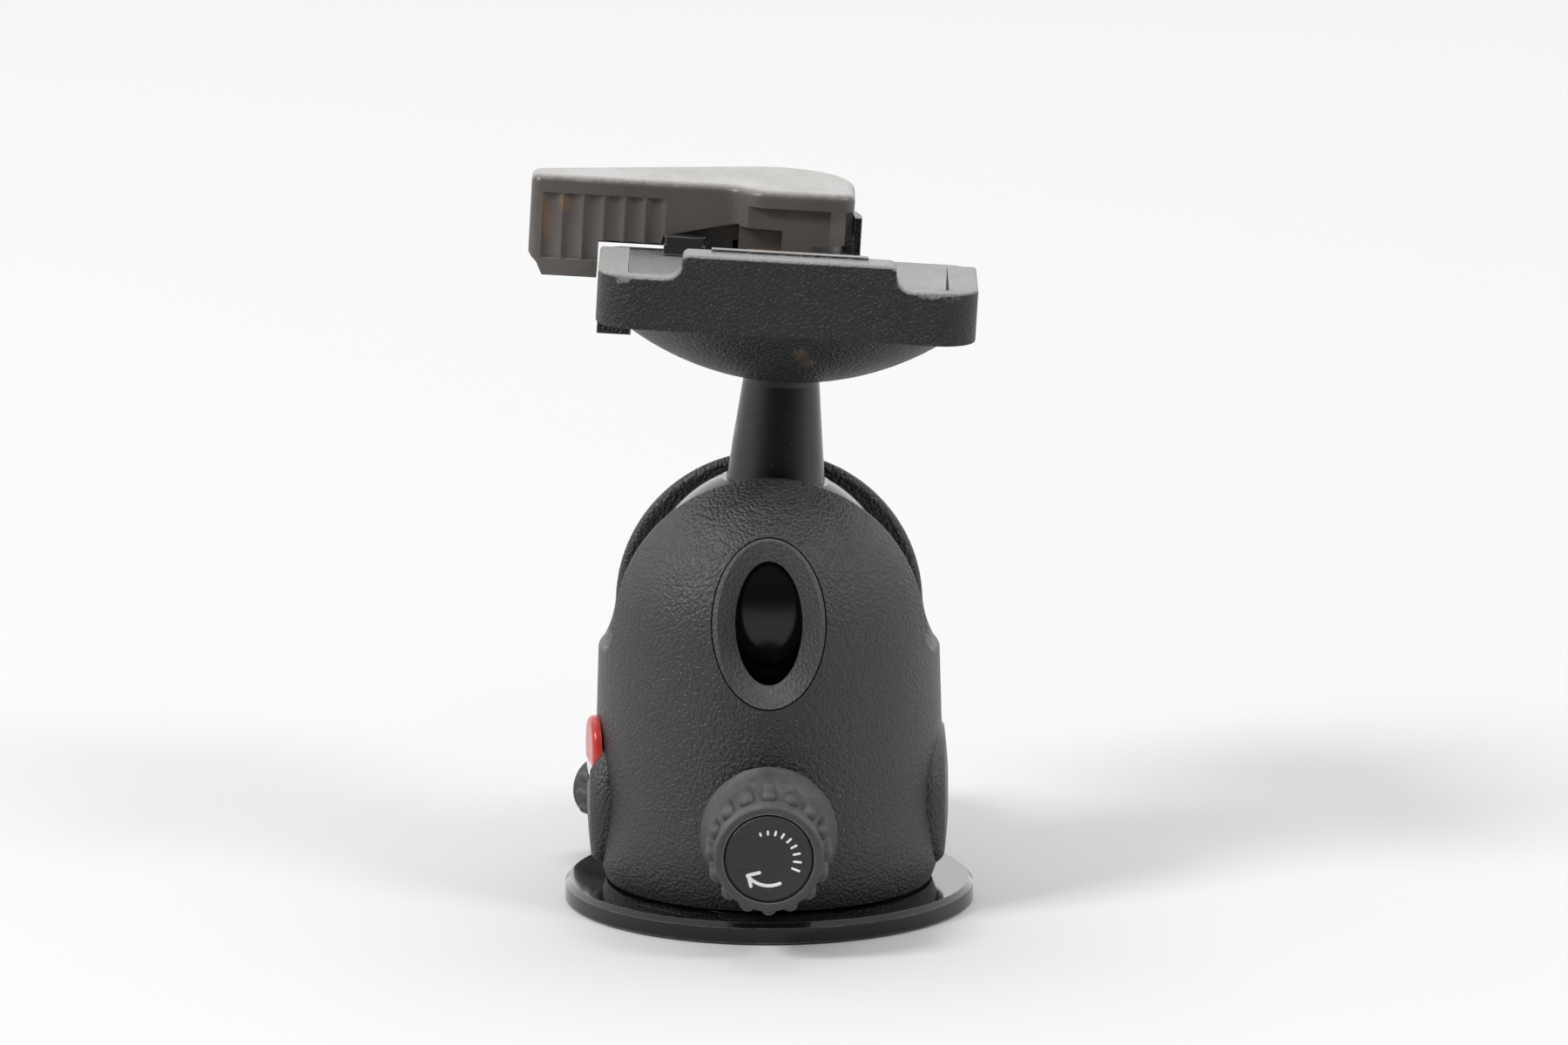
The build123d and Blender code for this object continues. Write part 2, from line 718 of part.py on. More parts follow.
# the walls round the front half, with the lip between two curved shoulders
with BuildPart() as receiver_walls:
    with BuildSketch(deck(tray_top - bottom_edge)):
        add(wall_plan.sketch)
    extrude(amount=lip_top - tray_top + bottom_edge)
    # the lip overhangs and holds the plate's front edge
    with BuildSketch(side_view.offset(-lip_half_width)):
        with BuildLine():
            back = lip_depth - receiver_front
            Polyline((back - lip_undercut - 1, lip_top), (back, lip_top), (back, lip_top - lip_edge),
                     (back - lip_undercut, lip_top - lip_edge - lip_slope),
                     (back - lip_undercut - 1, lip_top - lip_edge - lip_slope), close=True)
        make_face()
    extrude(amount=2 * lip_half_width)
    with BuildSketch(front_view.offset(-2 * receiver_rear)):
        with BuildLine():
            low = tray_top - bottom_edge - 1
            Polyline((-half_width - 1, low), (-half_width - 1, wall_top), (-lip_half_width, wall_top),
                     (-lip_half_width, lip_top), (lip_half_width, lip_top), (lip_half_width, wall_top),
                     (half_width + 1, wall_top), (half_width + 1, low), close=True)
        make_face()
        fillet(vertices().filter_by(
            lambda v: abs(v.Y - wall_top) < 0.01 and abs(v.X) < half_width), radius=lip_fillet)
        fillet(vertices().filter_by(lambda v: abs(v.Y - lip_top) < 0.01), radius=lip_corner)
    extrude(amount=4 * receiver_rear, mode=Mode.INTERSECT)
    fillet(receiver_walls.edges().filter_by(lambda e: runs_along_rim(e, tray_top + 1)), radius=top_edge)

with BuildPart() as receiver_tray:
    with BuildSketch(deck(tray_bottom)):
        add(floor_plan.sketch)
    extrude(amount=tray_floor)
    fillet(receiver_tray.edges().group_by(axis_of(head))[0], radius=bottom_edge)

with BuildPart() as receiver:
    with Locations(head):
        add(receiver_dome)
    add(receiver_tray.part)
    add(receiver_walls.part)
    # the machined pad between the walls, the lip and the lever's cam
    with BuildSketch(deck(tray_top)):
        with Locations((0, lip_depth - receiver_front + pad_gap)):
            Rectangle(2 * (cavity_half - pad_gap), pad_rear + receiver_front - lip_depth - pad_gap,
                      align=(Align.CENTER, Align.MIN))
    extrude(amount=pad_height)
    # a thin ridge on the lip
    with BuildSketch(deck(lip_top)):
        with Locations((0, lip_depth - ridge_depth - receiver_front)):
            Rectangle(2 * ridge_half_width, ridge_depth, align=(Align.CENTER, Align.MIN))
    extrude(amount=ridge_height)
    # the tower under the lever and its curved guard wall
    with BuildSketch(deck(tower_bottom)):
        with Locations(pivot):
            Circle(spring_pocket + guard_thickness)
    extrude(amount=tray_bottom - tower_bottom)
    with BuildSketch(deck(tray_top)):
        far = 3 * tower_radius
        with BuildLine():
            Polyline(pivot,
                     (pivot_u + far * cos(radians(guard_from)), pivot_v + far * sin(radians(guard_from))),
                     (pivot_u + far, pivot_v),
                     (pivot_u + far * cos(radians(guard_to)), pivot_v + far * sin(radians(guard_to))),
                     close=True)
        make_face()
        with Locations(pivot):
            Circle(tower_radius, mode=Mode.INTERSECT)
        with Locations(pivot):
            Circle(lever_head_radius + cover_gap, mode=Mode.SUBTRACT)
    extrude(amount=guard_height)
    # a lug under the rear left corner
    with BuildSketch(deck(tray_bottom - lug_drop)):
        with Locations((-half_width, receiver_rear - rear_corner)):
            Rectangle(lug_width, lug_depth, align=(Align.MIN, Align.MAX))
    extrude(amount=lug_drop + tray_floor / 2)
    # the boss round the button's well
    with BuildSketch(deck(button_well - button_boss_wall)):
        with Locations((button_u, button_v)):
            Circle(button_flange + button_boss_wall)
    extrude(amount=tray_bottom - button_well + button_boss_wall)
    # neck bore, clamp screw hole and its counterbore
    with BuildSketch(deck(dome_bottom - 1)):
        Circle(neck_top_radius)
    extrude(amount=neck_top - dome_bottom + 1, mode=Mode.SUBTRACT)
    with BuildSketch(deck(neck_top)):
        Circle(clamp_screw_radius + running_gap)
    extrude(amount=clamp_seat - neck_top, mode=Mode.SUBTRACT)
    with BuildSketch(deck(clamp_seat)):
        Circle(clamp_head_radius + cover_gap)
    extrude(amount=plate_seat - clamp_seat, mode=Mode.SUBTRACT)
    # lever pivot and the ring pocket of its spring
    with BuildSketch(deck(tower_bottom)):
        with Locations(pivot):
            Circle(pivot_radius + running_gap)
    extrude(amount=tray_top - tower_bottom, mode=Mode.SUBTRACT)
    with BuildSketch(deck(tray_top)):
        with Locations(pivot):
            Circle(spring_pocket)
            Circle(spring_boss, mode=Mode.SUBTRACT)
    extrude(amount=-spring_pocket_depth, mode=Mode.SUBTRACT)
    # the button's well with a wider seat for its collar, and the catch pin's hole
    with BuildSketch(deck(tray_top)):
        with Locations((button_u, button_v)):
            Circle(button_collar_radius)
    extrude(amount=-button_collar_thickness, mode=Mode.SUBTRACT)
    with BuildSketch(deck(button_well)):
        with Locations((button_u, button_v)):
            Circle(button_flange + 2 * running_gap)
    extrude(amount=tray_top - button_well, mode=Mode.SUBTRACT)
    with BuildSketch(deck(tray_top)):
        with Locations((catch_u, catch_v)):
            Circle(catch_pin_radius)
    extrude(amount=-tray_floor * 0.8, mode=Mode.SUBTRACT)
finish(receiver, "receiver")

# ================================================================ release button
collar_bottom = tray_top - button_collar_thickness
flange_top = collar_bottom - running_gap
button_bottom = flange_top - button_flange_height
button_plane = Plane(origin=head.from_local_coords((button_u, button_v, 0)), x_dir=head.x_dir, z_dir=head.z_dir)
button_collar = turned("button_collar", button_plane, ring(
    button_radius + running_gap, button_collar_radius, collar_bottom, tray_top))

with BuildPart() as release_button:
    with BuildSketch(button_plane.offset(button_bottom)):
        Circle(button_flange)
    extrude(amount=button_flange_height)
    with BuildSketch(button_plane.offset(button_bottom)):
        Circle(button_radius)
    extrude(amount=tray_top + button_rise - button_bottom)
    fillet(release_button.edges().filter_by(GeomType.CIRCLE).sort_by(axis_of(head))[-1], radius=button_radius * 0.14)
finish(release_button, "release_button")


def coil(label, plane, radius, wire, low, high, turns, square=False):
    """A coil spring of round or square wire round a plane's axis, between two heights."""
    height = high - low - 2 * (wire + running_gap)
    path = plane.offset(low + wire + running_gap) * Helix(pitch=height / turns, height=height, radius=radius)
    start = Plane(origin=path @ 0, z_dir=path % 0)
    if square:
        start = Plane(origin=path @ 0, x_dir=plane.x_dir, z_dir=path % 0)
    with BuildPart() as piece:
        with BuildSketch(start):
            if square:
                Rectangle(2 * wire, 2 * wire)
            else:
                Circle(wire)
        sweep(path=path, is_frenet=True)
    return finish(piece, label)


button_spring = coil("button_spring", button_plane, button_spring_coil, button_spring_wire,
                     button_well, button_bottom, 3)

# ================================================================ safety catch
catch_bottom = tray_top + cover_gap
catch_spring_seat = catch_pin_radius + 4 * catch_spring_wire
catch_top = catch_bottom + catch_thickness
catch_plane = Plane(origin=head.from_local_coords((catch_u, catch_v, 0)), x_dir=head.x_dir, z_dir=head.z_dir)
with BuildPart() as safety_catch:
    with BuildSketch(deck(catch_bottom)):
        with Locations((catch_u, catch_v)):
            Circle(catch_eye)
        with Locations((catch_tab_u, catch_tab_v)):
            Rectangle(catch_tab_width, catch_tab_depth, align=(Align.CENTER, Align.MIN))
        make_hull()
        with Locations((catch_u, catch_v)):
            Circle(catch_pin_radius + running_gap, mode=Mode.SUBTRACT)
    extrude(amount=catch_thickness)
    with BuildSketch(deck(catch_bottom)):
        with Locations((catch_tab_u, catch_tab_v)):
            RectangleRounded(catch_tab_width, catch_tab_depth, catch_tab_depth * 0.45,
                             align=(Align.CENTER, Align.MIN))
    extrude(amount=catch_tab_height)
    # a ring recess underneath for the return spring
    with BuildSketch(deck(catch_bottom)):
        with Locations((catch_u, catch_v)):
            Circle(catch_spring_seat)
    extrude(amount=catch_thickness / 2, mode=Mode.SUBTRACT)
finish(safety_catch, "safety_catch")
catch_spring = coil("catch_spring", catch_plane, catch_spring_seat - 2 * catch_spring_wire, catch_spring_wire,
                    tray_top, catch_bottom + catch_thickness / 2, 1, square=True)

catch_pin = turned("catch_pin", catch_plane, [
    (0, tray_top - tray_floor * 0.7),
    (catch_pin_radius, tray_top - tray_floor * 0.7),
    (catch_pin_radius, catch_top + running_gap),
    (catch_pin_head, catch_top + running_gap),
    (catch_pin_head, catch_top + running_gap + catch_pin_head_height * 0.5),
    (catch_pin_head - 0.4, catch_top + running_gap + catch_pin_head_height),
    (0, catch_top + running_gap + catch_pin_head_height),
])

# ================================================================ clamping lever
pivot_plane = Plane(origin=head.from_local_coords((pivot_u, pivot_v, 0)), x_dir=head.x_dir, z_dir=head.z_dir)
far_tip = (-arm_tip, arm_near + arm_tip_depth)
far_reach = hypot(far_tip[0] - pivot_u, far_tip[1] - pivot_v)
far_angle = 360 + degrees(atan2(far_tip[1] - pivot_v, far_tip[0] - pivot_u) - acos(lever_head_radius / far_reach))
far_touch = (pivot_u + lever_head_radius * cos(radians(far_angle)),
             pivot_v + lever_head_radius * sin(radians(far_angle)))
head_near = arm_near - head_step
head_right = pivot_u + lever_head_radius
arm_inner = -half_width - 2 * cover_gap
arm_base = cam_bottom + running_gap * 4
with BuildSketch() as lever_plan:
    with BuildLine():
        Line((-arm_tip, arm_near), (-head_step_start, arm_near))
        Spline((-head_step_start, arm_near), (-head_step_end, head_near), tangents=[(1, 0), (1, 0)])
        Line((-head_step_end, head_near), (head_right, head_near))
        Line((head_right, head_near), (head_right, pivot_v))
        CenterArc(pivot, lever_head_radius, 0, far_angle)
        Polyline(far_touch, far_tip, (-arm_tip, arm_near))
    make_face()
    tip_corners = lever_plan.vertices().group_by(Axis.X)[0]
    fillet(tip_corners, radius=arm_corner)
    fillet(lever_plan.vertices().filter_by(
        lambda v: abs(v.X - head_right) < 0.01 and abs(v.Y - head_near) < 0.01), radius=head_corner)

with BuildPart() as lever:
    with BuildSketch(deck(arm_bottom)):
        add(lever_plan.sketch)
    extrude(amount=lever_top - arm_bottom)
    fillet(lever.edges().filter_by(
        lambda e: abs(head.to_local_coords(e.center()).Z - lever_top) < 0.01), radius=lever_round)
    # the side view: the head ends above the cam, the finger end reaches down beside the receiver
    with BuildSketch(front_view.offset(-arm_near - lever_head_radius * 2)):
        with BuildLine():
            Polyline((head_right + 1, lever_top + 1), (head_right + 1, lever_bottom),
                     (pivot_u, lever_bottom), (pivot_u, arm_base), (arm_inner, arm_base),
                     (arm_inner, arm_bottom), (-arm_tip + 2 * arm_step, arm_bottom),
                     (-arm_tip + 1.5 * arm_step, arm_bottom + arm_step),
                     (-arm_tip + 1.2 * arm_step, arm_bottom + 1.7 * arm_step),
                     (-arm_tip + 0.5 * arm_step, arm_bottom + 2.3 * arm_step),
                     (-arm_tip, arm_bottom + 3 * arm_step), (-arm_tip - 1, lever_top + 1), close=True)
        make_face()
    extrude(amount=lever_head_radius * 4, mode=Mode.INTERSECT)
    # only the cam goes lower than the head to the right of the arm
    with BuildSketch(deck(cam_bottom - 1)):
        with Locations((-head_step_start, cam_centre[1])):
            Rectangle(2 * lever_head_radius, 4 * lever_head_radius, align=(Align.MIN, Align.CENTER))
    extrude(amount=lever_bottom - cam_bottom + 1, mode=Mode.SUBTRACT)
    with BuildSketch(deck(cam_bottom)):
        with Locations(cam_centre):
            Circle(cam_radius)
    extrude(amount=cam_height + 1)
    # the head's rim overhangs its body
    with BuildSketch(deck(cam_bottom - 1)):
        with BuildLine():
            Polyline((-head_step_start, head_near - 1), (head_right + 1, head_near - 1),
                     (head_right + 1, pivot_v), (head_right - head_inset, pivot_v),
                     (head_right - head_inset, head_near + head_inset + head_corner),
                     (head_right - head_inset - head_corner, head_near + head_inset),
                     (-head_step_start, head_near + head_inset), close=True)
        make_face()
    extrude(amount=lever_top - head_rim - cam_bottom + 1, mode=Mode.SUBTRACT)
    # the notch over the catch and the button, deep under the arm and shallow under the head
    with BuildSketch(front_view.offset(-arm_near - notch_depth)):
        with BuildLine():
            Polyline((arm_inner, cam_bottom - 1), (arm_inner, arm_base + arm_notch_rise),
                     (-notch_start - cover_gap, arm_base + arm_notch_rise), (-notch_start, lever_bottom),
                     (-notch_mid, lever_bottom + notch_rise), (-notch_mid, cam_bottom - 1), close=True)
        make_face()
    extrude(amount=notch_depth + head_step + 1, mode=Mode.SUBTRACT)
    with BuildSketch(front_view.offset(-head_near - notch_shallow)):
        with BuildLine():
            Polyline((-notch_mid - 1, cam_bottom - 1), (-notch_mid - 1, lever_bottom + notch_rise - 0.3),
                     (pivot_u + 1, lever_bottom + notch_rise - 0.6), (pivot_u + 1, cam_bottom - 1), close=True)
        make_face()
    extrude(amount=notch_shallow + 1, mode=Mode.SUBTRACT)
    with BuildSketch(deck(cam_bottom)):
        with Locations(pivot):
            Circle(pivot_radius)
    extrude(amount=lever_bore_end - cam_bottom, mode=Mode.SUBTRACT)
    with BuildSketch(deck(cam_bottom)):
        with Locations(pivot):
            Circle(spring_pocket)
            Circle(spring_boss, mode=Mode.SUBTRACT)
    extrude(amount=spring_pocket_depth * 0.7, mode=Mode.SUBTRACT)
    # finger grooves on the near face
    with BuildSketch(deck(arm_bottom + grip_foot)):
        for number in range(grip_count):
            with Locations((-grip_first + number * grip_pitch, arm_near - grip_radius + grip_depth)):
                Circle(grip_radius)
    extrude(amount=lever_top - grip_band - arm_bottom - grip_foot, mode=Mode.SUBTRACT)
finish(lever, "lever")

pivot_washer = turned("pivot_washer", pivot_plane, ring(
    pivot_radius + running_gap, pivot_screw_head, tower_bottom - pivot_washer_thickness - running_gap,
    tower_bottom - running_gap))

screw_seat = tower_bottom - pivot_washer_thickness - running_gap
with BuildPart() as lever_pivot_screw:
    with BuildSketch(pivot_plane.offset(screw_seat - pivot_screw_head_height)):
        Circle(pivot_screw_head)
    extrude(amount=pivot_screw_head_height)
    with BuildSketch(pivot_plane.offset(screw_seat)):
        Circle(pivot_radius)
    extrude(amount=lever_bore_end - cover_gap - screw_seat)
    with BuildSketch(pivot_plane.offset(screw_seat - pivot_screw_head_height)):
        RegularPolygon(bolt_key, 6)
    extrude(amount=pivot_screw_head_height * 0.6, mode=Mode.SUBTRACT)
finish(lever_pivot_screw, "lever_pivot_screw")

lever_spring = coil("lever_spring", pivot_plane, spring_coil, spring_wire,
                    tray_top - spring_pocket_depth, cam_bottom + spring_pocket_depth * 0.7, 2)


# ================================================================ drives
def bush(label, drive):
    """The threaded-in bush that carries a drive's shaft."""
    bore = drive.shaft_radius + running_gap
    return turned(label, drive.plane, [
        (drive.chamber_radius, drive.bush_start), (drive.bush_radius, drive.bush_start),
        (drive.bush_radius, drive.face), (bore, drive.face), (bore, drive.chamber_end),
        (drive.chamber_radius, drive.chamber_end)])


def shaft(label, drive, end):
    """A shaft with the collar that keeps it in its bush."""
    return turned(label, drive.plane, [
        (0, drive.shaft_start), (drive.shaft_radius, drive.shaft_start),
        (drive.shaft_radius, drive.collar_start), (drive.plunger_radius, drive.collar_start),
        (drive.plunger_radius, drive.collar_end), (drive.shaft_radius, drive.collar_end),
        (drive.shaft_radius, end), (0, end)])


def wedge_plunger(label, drive, clearance):
    """A plunger whose tip is cut to the slope of the cup's underside."""
    bore = drive.shaft_radius + running_gap
    view = Plane(origin=(0, 0, 0), x_dir=drive.plane.z_dir, z_dir=-drive.plane.x_dir)
    if view.y_dir.Z < 0:
        view = Plane(origin=(0, 0, 0), x_dir=drive.plane.z_dir, z_dir=drive.plane.x_dir)
    with BuildPart() as piece:
        with BuildSketch(drive.plane.offset(drive.tip)):
            Circle(drive.plunger_radius)
        extrude(amount=drive.plunger_end - drive.tip)
        with BuildSketch(drive.plane.offset(drive.shaft_start - drive.travel - cover_gap)):
            Circle(bore)
        extrude(amount=drive.plunger_end, mode=Mode.SUBTRACT)
        with BuildSketch(view):
            with BuildLine():
                top = cup_bottom + (drive.plunger_end - cup_cone_start) * cup_slope - clearance
                low = cup_bottom + (drive.tip - 1 - cup_cone_start) * cup_slope - clearance
                Polyline((drive.tip - 1, low), (drive.plunger_end, top), (drive.tip - 1, top), close=True)
            make_face()
        extrude(amount=2 * drive.plunger_radius, both=True, mode=Mode.SUBTRACT)
    return finish(piece, label)


def knob(label, drive):
    """A flared grip with round ribs that run from its flange towards the front rim."""
    back = drive.knob_back
    flange_end = back + drive.flange_width
    front = back + drive.knob_length
    rim = front - drive.rim_round
    seat = front - drive.cap_depth
    with BuildPart(mode=Mode.PRIVATE) as rib:
        with Locations((drive.rib_ring, 0, flange_end - drive.rib_radius)):
            Cylinder(drive.rib_radius, drive.knob_length - drive.flange_width - drive.rib_front,
                     align=(Align.CENTER, Align.CENTER, Align.MIN))
        with Locations((drive.rib_ring, 0, front - drive.rib_front - drive.rib_radius)):
            Sphere(drive.rib_radius)
    with BuildPart() as piece:
        with BuildSketch(section_of(drive.plane)):
            with BuildLine():
                Polyline((drive.shaft_radius, seat), (drive.shaft_radius, back), (drive.flange_radius, back),
                         (drive.flange_radius, flange_end))
                ThreePointArc((drive.flange_radius, flange_end),
                              (drive.waist_radius, (flange_end + rim) / 2), (drive.front_radius, rim))
                ThreePointArc((drive.front_radius, rim),
                              (drive.front_radius - drive.rim_round * 0.3, front - drive.rim_round * 0.3),
                              (drive.front_radius - drive.rim_round, front))
                Polyline((drive.front_radius - drive.rim_round, front), (drive.cap_radius + joint_line, front),
                         (drive.cap_radius + joint_line, seat), (drive.shaft_radius, seat))
            make_face()
        revolve(axis=axis_of(drive.plane))
        with Locations(drive.plane):
            with PolarLocations(0, drive.rib_count, drive.rib_start):
                add(rib.part)
    return finish(piece, label)


def cap(label, drive):
    """A flush cap with a broken edge in a knob's face."""
    high = drive.knob_back + drive.knob_length - drive.cap_recess
    low = drive.knob_back + drive.knob_length - drive.cap_depth
    edge = drive.cap_depth * 0.3
    return turned(label, drive.plane, [
        (0, low), (drive.cap_radius, low), (drive.cap_radius, high - edge),
        (drive.cap_radius - edge, high), (0, high)])


friction_bush = bush("friction_bush", friction)
lock_bush = bush("lock_bush", lock)
pan_bush = bush("pan_bush", pan)

friction_plunger = wedge_plunger("friction_plunger", friction, 0.4)
lock_plunger = wedge_plunger("lock_plunger", lock, 0.08)
pan_bore = pan.shaft_radius + running_gap
pan_tip_radius = 0.5
pan_cone = (pan.plunger_radius - pan_tip_radius) * brake_groove_depth / brake_groove_half * 1.07
pan_plunger = turned("pan_plunger", pan.plane, [
    (0, pan.tip), (pan_tip_radius, pan.tip), (pan.plunger_radius, pan.tip + pan_cone),
    (pan.plunger_radius, pan.plunger_end), (pan_bore, pan.plunger_end),
    (pan_bore, pan.shaft_start - pan.travel - cover_gap), (0, pan.shaft_start - pan.travel - cover_gap)])

for name, drive in (("friction", friction), ("lock", lock), ("pan", pan)):
    shaft(f"{name}_shaft", drive, drive.knob_back + drive.knob_length - drive.cap_depth)
    knob(f"{name}_knob", drive)
    cap(f"{name}_cap", drive)

os.makedirs("parts", exist_ok=True)
for piece in finished:
    export_step(piece.part, f"parts/{piece.part.label}.step")
    print(f"{piece.part.label}: {piece.part.volume:.1f} mm3, {len(piece.part.solids())} solids")
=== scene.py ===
# %% [markdown]
# # A tripod ball head, dressed for a picture
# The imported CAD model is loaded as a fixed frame. Each CAD node already has its true shape and
# place, so this lesson adds what CAD leaves out: a camera, soft light, printed marks, and
# finishes that show how the head was cast, painted, handled and worn.

# %% Load the frame
import bpy, bmesh, json, math
from mathutils import Vector, Matrix


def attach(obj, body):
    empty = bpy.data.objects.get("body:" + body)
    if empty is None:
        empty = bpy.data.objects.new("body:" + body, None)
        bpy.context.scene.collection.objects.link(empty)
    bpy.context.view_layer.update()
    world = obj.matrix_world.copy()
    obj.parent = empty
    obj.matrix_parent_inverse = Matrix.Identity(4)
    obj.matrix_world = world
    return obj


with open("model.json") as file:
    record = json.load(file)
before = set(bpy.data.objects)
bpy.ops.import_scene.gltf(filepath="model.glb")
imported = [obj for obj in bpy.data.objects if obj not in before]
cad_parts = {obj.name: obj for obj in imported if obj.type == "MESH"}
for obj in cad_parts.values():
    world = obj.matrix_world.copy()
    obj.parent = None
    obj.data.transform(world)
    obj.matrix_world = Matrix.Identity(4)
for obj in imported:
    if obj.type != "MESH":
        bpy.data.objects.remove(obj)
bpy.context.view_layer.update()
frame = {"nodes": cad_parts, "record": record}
nodes = frame["nodes"]
mm = 0.001

# %% [markdown]
# ## The camera
# A long lens far away keeps the disc's rim a flat ellipse. The camera stands 1.6 m in front of
# the head and 0.39 m above the table, and looks slightly down at the middle of the housing.

# %% Camera
eye = Vector((0.0024, -1.600, 0.394))
aim = Vector((0.0024, 0.0, 0.0618))
sensor_mm = 36.0
focal_mm = 233.6
farthest_seen = 20.0
lens_data = bpy.data.cameras.new("camera")
lens_data.sensor_width = sensor_mm
lens_data.lens = focal_mm
lens_data.clip_end = farthest_seen
camera = bpy.data.objects.new("camera", lens_data)
bpy.context.scene.collection.objects.link(camera)
camera.location = eye
camera.rotation_euler = (aim - eye).to_track_quat("-Z", "Y").to_euler()
bpy.context.scene.camera = camera
print("distance to the aim:", round((aim - eye).length, 3), "m")

# %% [markdown]
# ## Floor and light
# The studio is a pale table that runs on as far as the camera sees. Black things are drawn by
# what they mirror, so the lamps are soft boxes: one high on each side gives the domed housing
# its two glints, the left one stronger, and a large one overhead and behind draws the top edges.

# %% Floor
table_side = 12.0
table_shift = 2.0           # the table's middle lies this far behind the head
bpy.ops.object.select_all(action="DESELECT")
bpy.ops.mesh.primitive_plane_add(size=table_side, location=(0, table_shift, 0))
table = bpy.context.object
table.name = "table"


# %% Lamps
def place_lamp(name, where, target, width, height, power):
    data = bpy.data.lights.new(name, "AREA")
    data.shape = "RECTANGLE"
    data.size = width
    data.size_y = height
    data.energy = power
    lamp = bpy.data.objects.new(name, data)
    bpy.context.scene.collection.objects.link(lamp)
    lamp.location = where
    lamp.rotation_euler = (Vector(target) - Vector(where)).to_track_quat("-Z", "Y").to_euler()
    return lamp


middle = (0, 0, 0.06)
left_watts = 29.0
right_watts = 13.0
overhead_watts = 16.0
place_lamp("left_softbox", (-1.50, -1.00, 1.65), middle, 0.6, 0.6, left_watts)
place_lamp("right_softbox", (1.50, -1.00, 1.65), middle, 0.6, 0.6, right_watts)
place_lamp("overhead_softbox", (0.0, 0.9, 2.2), middle, 1.8, 1.2, overhead_watts)

# %% [markdown]
# ## Two backgrounds in one world
# Rough things take a gentle even light from the world. Shiny black things would look milky in
# it, so mirror rays see a studio instead: a dark room on the side where the camera stands, paper
# that brightens round to the sides, and a second glow straight behind the head. The camera itself
# sees plain paper.

# %% World
paper_white = 0.92
even_fill = 0.48
room_dark = 0.05
paper_glow = 1.25
rear_glow = 0.8
bright_side = (-0.06, 0.97, 0.10)
glow_bands = ((-1.0, -0.15, room_dark, paper_glow), (0.2, 1.0, 0.0, rear_glow))
world = bpy.data.worlds.new("studio")
bpy.context.scene.world = world
world.use_nodes = True
sky = world.node_tree
sky.nodes.clear()
out = sky.nodes.new("ShaderNodeOutputWorld")
fill = sky.nodes.new("ShaderNodeBackground")
fill.inputs["Color"].default_value = (1, 1, 1, 1)
fill.inputs["Strength"].default_value = even_fill
paper = sky.nodes.new("ShaderNodeBackground")
paper.inputs["Color"].default_value = (paper_white, paper_white, paper_white, 1)
mirrored = sky.nodes.new("ShaderNodeBackground")
toward = sky.nodes.new("ShaderNodeTexCoord")
facing = sky.nodes.new("ShaderNodeVectorMath")
facing.operation = "DOT_PRODUCT"
facing.inputs[1].default_value = bright_side
both_glows = sky.nodes.new("ShaderNodeMath")
both_glows.operation = "ADD"
for slot, (start, end, low, high) in enumerate(glow_bands):
    falloff = sky.nodes.new("ShaderNodeMapRange")
    falloff.interpolation_type = "SMOOTHSTEP"
    for label, value in (("From Min", start), ("From Max", end), ("To Min", low), ("To Max", high)):
        falloff.inputs[label].default_value = value
    sky.links.new(facing.outputs["Value"], falloff.inputs["Value"])
    sky.links.new(falloff.outputs["Result"], both_glows.inputs[slot])
rays = sky.nodes.new("ShaderNodeLightPath")
mix = sky.nodes.new("ShaderNodeMixShader")
mirror_mix = sky.nodes.new("ShaderNodeMixShader")
sky.links.new(toward.outputs["Generated"], facing.inputs[0])
sky.links.new(both_glows.outputs[0], mirrored.inputs["Strength"])
sky.links.new(rays.outputs["Is Glossy Ray"], mirror_mix.inputs[0])
sky.links.new(fill.outputs[0], mirror_mix.inputs[1])
sky.links.new(mirrored.outputs[0], mirror_mix.inputs[2])
sky.links.new(rays.outputs["Is Camera Ray"], mix.inputs[0])
sky.links.new(mirror_mix.outputs[0], mix.inputs[1])
sky.links.new(paper.outputs[0], mix.inputs[2])
sky.links.new(mix.outputs[0], out.inputs[0])
bpy.context.scene.view_settings.view_transform = "Standard"
print("fill:", fill.inputs["Strength"].default_value, "paper:", paper_white)

# %% [markdown]
# ## Small tools for shader trees
# Every finish is wired from a few node groups. These helpers add a node with its values set, and
# start a group with named sockets. In Blender 4.5 a group's sockets belong to its interface.

# %% Tree helpers
colour_a, colour_b = 6, 7       # the Mix node's colour inputs, which share their names with others
colour_result = 2


def put(tree, kind, **values):
    """Adds a node. Words that match an attribute set it, the rest set input sockets."""
    node = tree.nodes.new("ShaderNode" + kind)
    for name, value in values.items():
        key = name.replace("_", " ")
        if hasattr(node, name):
            setattr(node, name, value)
        else:
            node.inputs[key].default_value = value
    return node


def join(tree, source, target):
    tree.links.new(source, target)


def start_group(name, inputs, outputs):
    """A node group with float or colour sockets: {name: default} in, {name: kind} out."""
    tree = bpy.data.node_groups.new(name, "ShaderNodeTree")
    for label, value in inputs.items():
        kind = "NodeSocketColor" if isinstance(value, tuple) else "NodeSocketFloat"
        tree.interface.new_socket(label, in_out="INPUT", socket_type=kind).default_value = value
    for label, kind in outputs.items():
        tree.interface.new_socket(label, in_out="OUTPUT", socket_type="NodeSocket" + kind)
    return tree, tree.nodes.new("NodeGroupInput"), tree.nodes.new("NodeGroupOutput")


def math_node(tree, operation, a, b=None, clamp=False):
    """A Math node whose inputs are numbers or sockets; gives its output socket."""
    node = tree.nodes.new("ShaderNodeMath")
    node.operation = operation
    node.use_clamp = clamp
    for slot, value in enumerate((a, b)):
        if value is None:
            continue
        if isinstance(value, (int, float)):
            node.inputs[slot].default_value = value
        else:
            tree.links.new(value, node.inputs[slot])
    return node.outputs[0]


